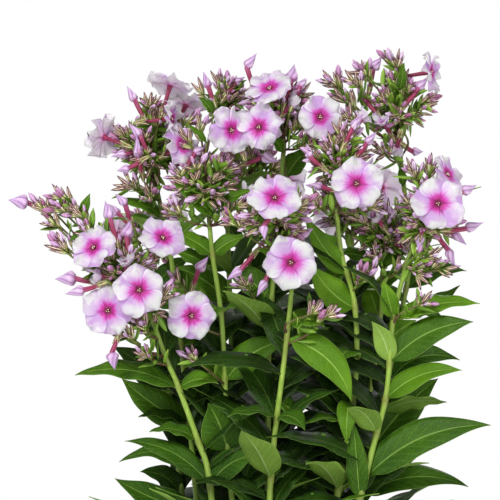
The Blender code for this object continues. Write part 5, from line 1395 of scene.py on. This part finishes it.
def hitsBloom(*points):
    # Whether a place lies just in front of, or in, an open flower's lobes
    for centre, facing, diameter in blooms:
        for point in points:
            ahead = (point - centre).dot(facing) / mm
            beside = (point - centre - facing * (ahead * mm)).length / mm
            if -3 < ahead < 42 and beside < diameter * 0.54:
                return True
    return False


def growBunch(kind, number, root, end, outward, count, key, tested=True):
    # A side branch that ends in young buds. The solids have those that are tested, which take a draw
    # from the list of tries each; the rest are extra.
    length = headLook["budLength"] * mm
    pull = Vector((0, 0, headLook["pull"]))
    upright = (outward + pull).normalized()
    bend = clearOption(bends()) if tested else bends()[0]
    if bend is None:
        return
    head = sheafOf(kind, number)
    spray = sprays[kind, number]
    addBranch(head, root, end, bend)
    addYoungBud(spray, end - upright * (0.5 * mm), upright, length, (key, 0))
    side = outward.cross(Vector((0.2, 0.1, 1.0))).normalized()
    other = outward.cross(side)
    for bud in range(1, count):
        spread = 0.95 + 0.25 * vary("spread", key, bud)
        angle = 2 * math.pi * bud / (count - 1) + vary("start", key)
        heading = outward + (side * math.cos(angle) + other * math.sin(angle)) * spread
        heading = (heading + pull).normalized()
        start = end.lerp(root, (bud - 0.7) * headLook["budSpacing"] * mm / (end - root).length)
        reach = length * (1 + 0.18 * vary("bud", key, bud))
        option = clearOption(bends()[:13]) if tested else bends()[0]
        if option is None:
            continue
        way = (heading + option / (16 * mm)).normalized()
        addYoungBud(spray, start, way, reach, (key, bud))
    for bud in range(headLook["extraBuds"]):
        angle = goldenAngle * bud + 2 * vary("more", key)
        spread = 0.7 + 0.4 * vary("wide", key, bud)
        heading = outward + (side * math.cos(angle) + other * math.sin(angle)) * spread
        heading = (heading + pull).normalized()
        start = end.lerp(root, min(0.8, (1.0 + 1.2 * bud) * mm / (end - root).length))
        reach = length * (0.72 + 0.2 * vary("less", key, bud))
        foot = start + heading * (2.5 * mm)
        if not hitsBloom(start + heading * reach, foot):
            addBranch(head, start, foot, Vector((0, 0, 0)), 0.4, 0.45, sides=4)
            addYoungBud(spray, foot, heading, reach, (key, "more", bud))
    for bract in range(headLook["bracts"]):
        angle = goldenAngle * bract + 3 * vary("bract", key)
        heading = (outward * 0.5 + side * math.cos(angle) + other * math.sin(angle) + pull).normalized()
        start = end.lerp(root, 0.06 + 0.15 * bract)
        reach = (11.0 + 3.5 * vary("long", key, bract)) * mm
        if not hitsBloom(start + heading * reach):
            addYoungBud(spray, start, heading, reach, (key, "bract", bract), len(youngBuds))


def sheafOf(kind, number):
    return headSheaves[number] if kind == "head" else stemSheaves[number]


def newTree(name, inputs):
    # A Geometry Nodes group with named inputs, the function that adds its nodes, and its inputs' sockets
    tree = bpy.data.node_groups.new(name, "GeometryNodeTree")
    tree.interface.new_socket("Geometry", in_out="INPUT", socket_type="NodeSocketGeometry")
    for label, kind in inputs.items():
        tree.interface.new_socket(label, in_out="INPUT", socket_type="NodeSocket" + kind)
    tree.interface.new_socket("Geometry", in_out="OUTPUT", socket_type="NodeSocketGeometry")
    return tree, functools.partial(addNode, tree), tree.nodes.new("NodeGroupInput").outputs


def closeTree(tree, given, pieces):
    # Makes the instances real, gives them their finish and joins them to the mesh that the tree is given
    real = addNode(tree, "GeometryNodeRealizeInstances", pieces)
    finished = addNode(tree, "GeometryNodeSetMaterial", {"Geometry": real, "Material": given["Finish"]})
    joined = addNode(tree, "GeometryNodeJoinGeometry", given["Geometry"])
    tree.links.new(finished, joined.node.inputs[0])
    tree.links.new(joined, tree.nodes.new("NodeGroupOutput").inputs[0])
    return tree


def grown(mesh, name, tree, values):
    # The mesh that a tree makes of another mesh, with nothing live left on it
    piece = newObject(name + "_growing", mesh)
    modifier = piece.modifiers.new("grow", "NODES")
    modifier.node_group = tree
    sockets = {item.name: item.identifier for item in tree.interface.items_tree if item.in_out == "INPUT"}
    for label, value in values.items():
        modifier[sockets[label]] = value
    bpy.context.view_layer.update()
    result = piece.evaluated_get(bpy.context.evaluated_depsgraph_get())
    made = bpy.data.meshes.new_from_object(result, preserve_all_data_layers=True,
                                           depsgraph=bpy.context.evaluated_depsgraph_get())
    made.name = name
    bpy.data.objects.remove(piece)
    return made


def makeSprayTree():
    # Young buds on the points of another object, each with its own heading, roll, kind and size
    tree, add, given = newTree("youngBudSpray", {"Points": "Object", "Bud shapes": "Collection",
                                                 "Finish": "Material"})
    points = add("GeometryNodeObjectInfo", {"Object": given["Points"]}, out="Geometry")
    shapes = add("GeometryNodeCollectionInfo", {"Collection": given["Bud shapes"], "Separate Children": True,
                                                "Reset Children": True})
    kinds = {"heading": "FLOAT_VECTOR", "roll": "FLOAT", "kind": "INT", "size": "FLOAT"}
    own = {name: add("GeometryNodeInputNamedAttribute", {"Name": name}, out="Attribute", data_type=kind)
           for name, kind in kinds.items()}
    turned = add("FunctionNodeAlignRotationToVector", {"Vector": own["heading"]}, axis="Z")
    roll = add("FunctionNodeAxisAngleToRotation", {"Axis": (0.0, 0.0, 1.0), "Angle": own["roll"]})
    turned = add("FunctionNodeRotateRotation", {"Rotation": turned, "Rotate By": roll}, rotation_space="LOCAL")
    return closeTree(tree, given, add("GeometryNodeInstanceOnPoints", {
        "Points": points, "Instance": shapes, "Pick Instance": True, "Instance Index": own["kind"],
        "Rotation": turned, "Scale": own["size"]}))


def makeCrumbTree():
    # Crumbs scattered on a mesh, above a height and within a reach of its middle, each with its own
    # turn, shape, size and tone
    tree, add, given = newTree("soilCrumbs", {
        "Per square metre": "Float", "Smallest": "Float", "Largest": "Float", "Reach": "Float",
        "Lowest": "Float", "Seed": "Int", "Finish": "Material"})
    place = add("GeometryNodeInputPosition")
    level = add("CombineXYZ", add("SeparateXYZ", place), add("SeparateXYZ", place, out="Y"))
    inside = add("Math LESS_THAN", add("VectorMath LENGTH", level, out="Value"), given["Reach"])
    upper = add("Math GREATER_THAN", add("SeparateXYZ", place, out="Z"), given["Lowest"])
    spread = add("GeometryNodeDistributePointsOnFaces", {
        "Mesh": given["Geometry"], "Selection": add("Math MULTIPLY", inside, upper),
        "Density": given["Per square metre"], "Seed": given["Seed"]})
    one = add("GeometryNodeMeshIcoSphere", {"Radius": mm, "Subdivisions": 1})
    size = add("FunctionNodeRandomValue", {2: given["Smallest"], 3: given["Largest"], "Seed": given["Seed"]}, out=1,
               data_type="FLOAT")
    turn = add("FunctionNodeRandomValue", {0: (0.0, 0.0, 0.0), 1: (6.28, 6.28, 6.28), "Seed": 5},
               data_type="FLOAT_VECTOR")
    squash = add("FunctionNodeRandomValue", {0: (0.55, 0.55, 0.4), 1: (1.3, 1.2, 0.9), "Seed": 9},
                 data_type="FLOAT_VECTOR")
    pieces = add("GeometryNodeInstanceOnPoints", {
        "Points": spread, "Instance": one, "Rotation": turn,
        "Scale": add("VectorMath SCALE", {0: squash, "Scale": size})})
    tones = add("FunctionNodeRandomValue", {2: 0.0, 3: 1.0, "Seed": 3}, out=1, data_type="FLOAT")
    return closeTree(tree, given, add("GeometryNodeStoreNamedAttribute", {
        "Geometry": pieces, "Name": "tone", "Value": tones}, data_type="FLOAT", domain="INSTANCE"))


def addPiece(name, mesh, node):
    piece = newObject(name, mesh)
    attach(piece, "root")
    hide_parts(node)
    return piece


# Pot: the solid's own taper and rim, with rounded edges, grip ribs below the rim and a recessed base
potLook = {"height": 168.0, "base": 70.0, "top": 95.0, "wall": 3.0, "floor": 4.0, "rim": 14.0, "proud": 3.0,
           "sides": 144, "ribLow": 122.0, "ribHigh": 146.0, "ribDeep": 0.7,
           "drainRadius": 6.0, "drainCircle": 42.0, "drains": 4}


def potInside(height):
    share = (height - potLook["floor"]) / (potLook["height"] - potLook["floor"])
    return potLook["base"] - potLook["wall"] + (potLook["top"] - potLook["base"]) * share


def potOutside(height):
    return potLook["base"] + (potLook["top"] - potLook["base"]) * height / potLook["height"]


def makePot():
    high, rim = potLook["height"], potLook["height"] - potLook["rim"]
    edge = potLook["top"] + potLook["proud"]
    # Radius, height and wear of each ring, from the recessed base up the outside: foot, taper with a
    # step, grip ribs and rolled rim
    rows = [(58.0, 0.9, 0), (62.0, 0.8, 0), (63.5, 0.0, 0), (69.0, 0.0, 0), (70.4, 0.35, 1), (71.2, 1.2, 1),
            (71.7, 2.6, 0)]
    rows += [(potOutside(z) + (0.5 if 23 < z < 27 else 0.0), z, 0)
             for z in (8, 16, 22, 23.2, 26.8, 28, 50, 80, 105)]
    ribLow, ribHigh = potLook["ribLow"], potLook["ribHigh"]
    rows += [(potOutside(z), z, 0)
             for z in (ribLow - 1, ribLow, ribLow + 1.5, ribHigh - 1.5, ribHigh, ribHigh + 1)]
    rows += [(potOutside(rim - 2), rim - 2.0, 0), (potOutside(rim) + 0.6, rim - 0.9, 0), (edge - 1.4, rim, 0),
             (edge - 0.3, rim + 0.5, 1), (edge + 0.05, rim + 1.5, 1), (edge + 0.35, rim + 6, 0),
             (edge + 0.55, high - 2.6, 0), (edge + 0.3, high - 1.0, 1), (edge - 0.6, high - 0.2, 1)]
    outside = len(rows)
    # Over the rim and down the inside to the floor
    rows += [(edge - 1.6, high, 1), (edge - 2.6, high - 0.25, 0), (edge - 3.4, high - 0.25, 0),
             (edge - 4.6, high, 1), (potInside(high) + 0.7, high - 0.2, 1),
             (potInside(high) + 0.1, high - 1.0, 0)]
    rows += [(potInside(z), z, 0) for z in (high - 3.0, 90.0, 20.0, 8.0)]
    rows += [(potInside(4) - 2.0, 4.0, 0), (30.0, 4.0, 0)]
    rings = ringsAbout((0, 0, 0), (0, 0, 1), [row[:2] for row in rows], potLook["sides"])
    ribs = np.where(np.arange(potLook["sides"]) % 6 < 2, potLook["ribDeep"], 0.0)
    for i, (radius, height, _) in enumerate(rows[:outside]):
        if ribLow <= height <= ribHigh:
            inset = 0.35 if height in (ribLow, ribHigh) else 1.0
            rings[i, :, :2] *= (1 + ribs * inset / radius)[:, None]
    sheaf = Sheaf()
    ends = (np.array((0.0, 0.0, 0.9 * mm)), np.array((0.0, 0.0, 4.0 * mm)))
    addHull(sheaf, rings, 0, 0.5, np.array([float(row[2]) for row in rows]), ends=ends)
    pot = newObject("potShell", sheaf.mesh("potShell", [finishes["pot"]]))
    drills = []
    for k in range(potLook["drains"]):
        angle = 2 * math.pi * (k + 0.5) / potLook["drains"]
        out = potLook["drainCircle"] * mm
        place = (out * math.cos(angle), out * math.sin(angle), 0.0)
        bore = [(potLook["drainRadius"], z) for z in (-9.0, 9.0)]
        drill = Sheaf()
        addHull(drill, ringsAbout(place, (0, 0, 1), bore, 40), 0)
        drills.append(newObject("drill", drill.mesh("drill", [finishes["pot"]])))
        cut = pot.modifiers.new("drain", "BOOLEAN")
        cut.operation = "DIFFERENCE"
        cut.object = drills[-1]
        cut.solver = "EXACT"
    bpy.context.view_layer.update()
    made = bpy.data.meshes.new_from_object(pot.evaluated_get(bpy.context.evaluated_depsgraph_get()))
    for piece in drills + [pot]:
        bpy.data.objects.remove(piece)
    made.set_sharp_from_angle(angle=math.radians(40))
    addPiece("nurseryPot", made, "pot")


# Compost: a crumbly, slightly domed surface with loose crumbs, bark and a little white perlite on it
soilLook = {"top": 152.0, "dome": 4.0, "edgeDrop": 2.0, "gap": 0.3, "rings": 38, "sides": 100, "rough": 1.1,
            "waves": 26, "perArea": 66000.0, "smallest": 0.35, "largest": 1.5, "keepOff": 3.0}


def makeSoil():
    high = soilLook["top"] - soilLook["edgeDrop"]
    low = potLook["floor"] + soilLook["gap"]
    edge = potInside(high) - soilLook["gap"]
    shares = np.linspace(1.0, 0.03, soilLook["rings"])
    dome = soilLook["dome"]
    crown = np.interp(shares, (0.0, 0.45, 0.8, 1.0), (dome, 0.6 * dome, 0.1 * dome, -soilLook["edgeDrop"]))
    rows = [(potInside(low) - soilLook["gap"], low)]
    rows += [(edge * share, soilLook["top"] + rise) for share, rise in zip(shares, crown)]
    rings = ringsAbout((0, 0, 0), (0, 0, 1), rows, soilLook["sides"])
    bumps = random.Random(17)
    rough = np.zeros(rings.shape[:2])
    for _ in range(soilLook["waves"]):
        scale, heading, phase = bumps.uniform(90, 620), bumps.uniform(0, 6.28), bumps.uniform(0, 6.28)
        ahead = rings[..., 0] * math.cos(heading) + rings[..., 1] * math.sin(heading)
        rough += np.sin(scale * ahead + phase) / 5.2
    rings[2:, :, 2] += rough[2:] * soilLook["rough"] * mm * np.minimum(1.0, (1 - shares[1:, None]) * 9)
    sheaf = Sheaf()
    addHull(sheaf, rings, 0, 0.4, 0.0)
    made = grown(sheaf.mesh("compost", [finishes["soil"]]), "pottingCompost", makeCrumbTree(), {
        "Per square metre": soilLook["perArea"], "Smallest": soilLook["smallest"], "Largest": soilLook["largest"],
        "Reach": (edge - soilLook["keepOff"]) * mm, "Lowest": (high - 2.0) * mm, "Seed": 4,
        "Finish": finishes["soil"]})
    addPiece("pottingCompost", made, "soil")


def makeBudShapes():
    # The kinds of young bud, and after them the bract. Their tone comes from the points they stand on.
    shapes = bpy.data.collections.new("youngBudShapes")
    for kind in range(len(youngBuds) + 1):
        sheaf = Sheaf()
        if kind < len(youngBuds):
            addYoungBudShape(sheaf, kind)
        else:
            addBract(sheaf)
        mesh = sheaf.mesh("youngBud%d" % kind, [finishes["youngBud"]], False)
        shapes.objects.link(bpy.data.objects.new("youngBud%d" % kind, mesh))
    return shapes


def sprayPoints(name, spray):
    mesh = bpy.data.meshes.new(name)
    mesh.vertices.add(len(spray))
    mesh.vertices.foreach_set("co", np.array([tuple(bud[0]) for bud in spray], np.float32).ravel())
    heading = mesh.attributes.new("heading", "FLOAT_VECTOR", "POINT")
    heading.data.foreach_set("vector", np.array([tuple(bud[1]) for bud in spray], np.float32).ravel())
    kinds = {"size": "FLOAT", "kind": "INT", "tone": "FLOAT", "roll": "FLOAT"}
    for place, (key, kind) in enumerate(kinds.items()):
        layer = mesh.attributes.new(key, kind, "POINT")
        layer.data.foreach_set("value", [bud[2 + place] for bud in spray])
    return newObject(name, mesh)


def withSpray(sheaf, spray, name):
    mesh = sheaf.mesh(name, plantFinishes)
    if not spray:
        return mesh
    points = sprayPoints(name + "_points", spray)
    made = grown(mesh, name, sprayTree, {"Points": points, "Bud shapes": budShapes,
                                         "Finish": finishes["youngBud"]})
    bpy.data.objects.remove(points)
    return made


def makeFloor():
    disc = Sheaf()
    profile = [(studio["floor"] - 1, -3.0), (studio["floor"], -1.5), (studio["floor"] - 1, 0.0)]
    addHull(disc, ringsAbout((0, 0, 0), (0, 0, 1), profile, 96), 0)
    newObject("studioFloor", disc.mesh("studioFloor", [boardFinish()]))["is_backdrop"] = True


setUpStudio()
makeFloor()
print("studio made")

finishes = {"pot": potFinish(), "soil": soilFinish(), "youngBud": youngBudFinish(), "anther": antherFinish(),
            "branch": branchFinish(), "calyx": calyxFinish(), "bud": budPetalFinish(), "tube": tubeFinish(),
            "leaf": leafFinish("leafUpperSide"), "leafUnder": leafFinish("leafUnderside"),
            "petal": petalFinish(), "petalBack": petalBackFinish(), "stem": stemFinish()}
plantFinishes = [finishes[key] for key in sorted(headSlots, key=headSlots.get)]
print("finishes made:", len(finishes))

makePot()
makeSoil()
print("pot and compost made")

paths = {}
for number in stems:
    paths["stem", number] = stemPath(number)
for number in heads:
    paths["head", number] = stalkPath(number, paths["stem", number])
leaves = {number: [] for number in stems}
stemSheaves = {number: Sheaf() for number in stems}
headSheaves = {number: Sheaf() for number in heads}
sprays = {key: [] for key in paths}
blooms = []
flowerSheaves = []
for index in range(len(flowers)):
    growFlower(index)
for row in seenLeaves:
    growSeenLeaf(row)
for index in range(len(buds)):
    growBud(index)
for index in range(len(funnels)):
    growFunnel(index)
for index, (kind, number, middle, count) in enumerate(clusters):
    end = seen(*middle)
    root = carrierRoot(kind, number, end)
    growBunch(kind, number, root, end, (end - root).normalized(), count, ("sprig", index))
for number, (middle, sizes, branches, count) in heads.items():
    for index in range(branches):
        outward = branchHeading(index, branches, number)
        end = headPlace(number, 0.55 + 0.08 * vary("reach", number, index), outward)
        root = carrierRoot("head", number, end)
        growBunch("head", number, root, end, outward, count, (number, index))
for number in stems:
    growPairs(number)
print("placed:", len(blooms), "open flowers,", sum(map(len, leaves.values())), "leaves, tries",
      next(tryNumbers))

for number in heads:
    extra = headLook["extraBranches"] - headLook["fewer"].get(number, 0)
    for index in range(extra):
        outward = branchHeading(index + 0.5, extra, number + 0.7)
        end = headPlace(number, 0.44 + 0.2 * vary("further", number, index), outward)
        root = carrierRoot("head", number, end)
        if not hitsBloom(end, end + outward * (4 * mm)):
            growBunch("head", number, root, end, outward, 3, ("extra", number, index), False)

for index, (kind, number, middle, count) in enumerate(extraSprays):
    end = seen(*middle)
    root = carrierRoot(kind, number, end)
    growBunch(kind, number, root, end, (end - root).normalized(), count, ("more", index), False)

for kind, number, foot, tip, width in smallLeaves:
    foot, tip = seen(*foot), seen(*tip)
    root = carrierRoot(kind, number, foot)
    addBranch(sheafOf(kind, number), root, foot, Vector((0, 0, 0)), 0.5, 0.7)
    way = (tip - foot).normalized()
    face = Vector((0.15, -0.75, 0.65))
    # Painted shade: small leaves further back are painted darker
    tone = 0.55 - 0.004 * max(0.0, foot.y / mm)
    addLeaf(sheafOf(kind, number), foot, tip, width, 1.5, face, ("small", tip.x), tone, leafSlots, 14, 3)

innerLeaves = {number: [] for number in stems}
growInnerLeaves()
for number in heads:
    growHeadLeaves(number)
print("leaves between the pairs:", sum(map(len, innerLeaves.values())))

budShapes = makeBudShapes()
sprayTree = makeSprayTree()
for number in stems:
    sheaf = stemSheaves[number]
    roots = [addLeaf(sheaf, *leaf) for leaf in leaves[number]]
    for leaf in innerLeaves[number]:
        addLeaf(sheaf, *leaf)
    addStem(sheaf, number, roots)
    mesh = withSpray(sheaf, sprays["stem", number], "phloxStem_%02d" % number)
    addPiece("phloxStem_%02d" % number, mesh, "leafy_stem_%02d" % number)
print("leafy stems made")

for number in heads:
    sheaf = headSheaves[number]
    path = paths["head", number]
    taper = headLook["stalkTip"] - stemLook["tip"]
    radii = [stemLook["tip"] + taper * i / (len(path) - 1) for i in range(len(path))]
    sunk = path[0] - (path[1] - path[0]).normalized() * (1.5 * mm)
    fine, radii = refine([sunk] + path[1:], radii, 4.0)
    addHull(sheaf, ringsAlong(fine, radii, 9), headSlots["branch"], 0.5, np.linspace(0.0, 0.8, len(fine)))
    growBunch("head", number, path[-2], path[-1], (path[-1] - path[-2]).normalized(), 5, ("top", number),
              False)
    mesh = withSpray(sheaf, sprays["head", number], "phloxHead_%02d" % number)
    addPiece("phloxHead_%02d" % number, mesh, "flower_head_%02d" % number)
print("flower heads made, young buds:", sum(map(len, sprays.values())))

for index, sheaf in enumerate(flowerSheaves):
    name = "openFlower_%02d" % (index + 1)
    mesh = sheaf.mesh(name, [finishes[key] for key in ("petal", "petalBack", "tube", "anther")])
    addPiece("phloxBloom_%02d" % (index + 1), mesh, "open_flower_%02d" % (index + 1))
print("open flowers made")

for shape in list(budShapes.objects):
    bpy.data.objects.remove(shape)
bpy.data.collections.remove(budShapes)
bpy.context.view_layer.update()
counts = sorted((sum(len(face.vertices) - 2 for face in piece.data.polygons), piece.name)
                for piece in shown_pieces() if piece.type == "MESH")
print("triangles:", sum(count for count, name in counts), "most:", counts[-3:])
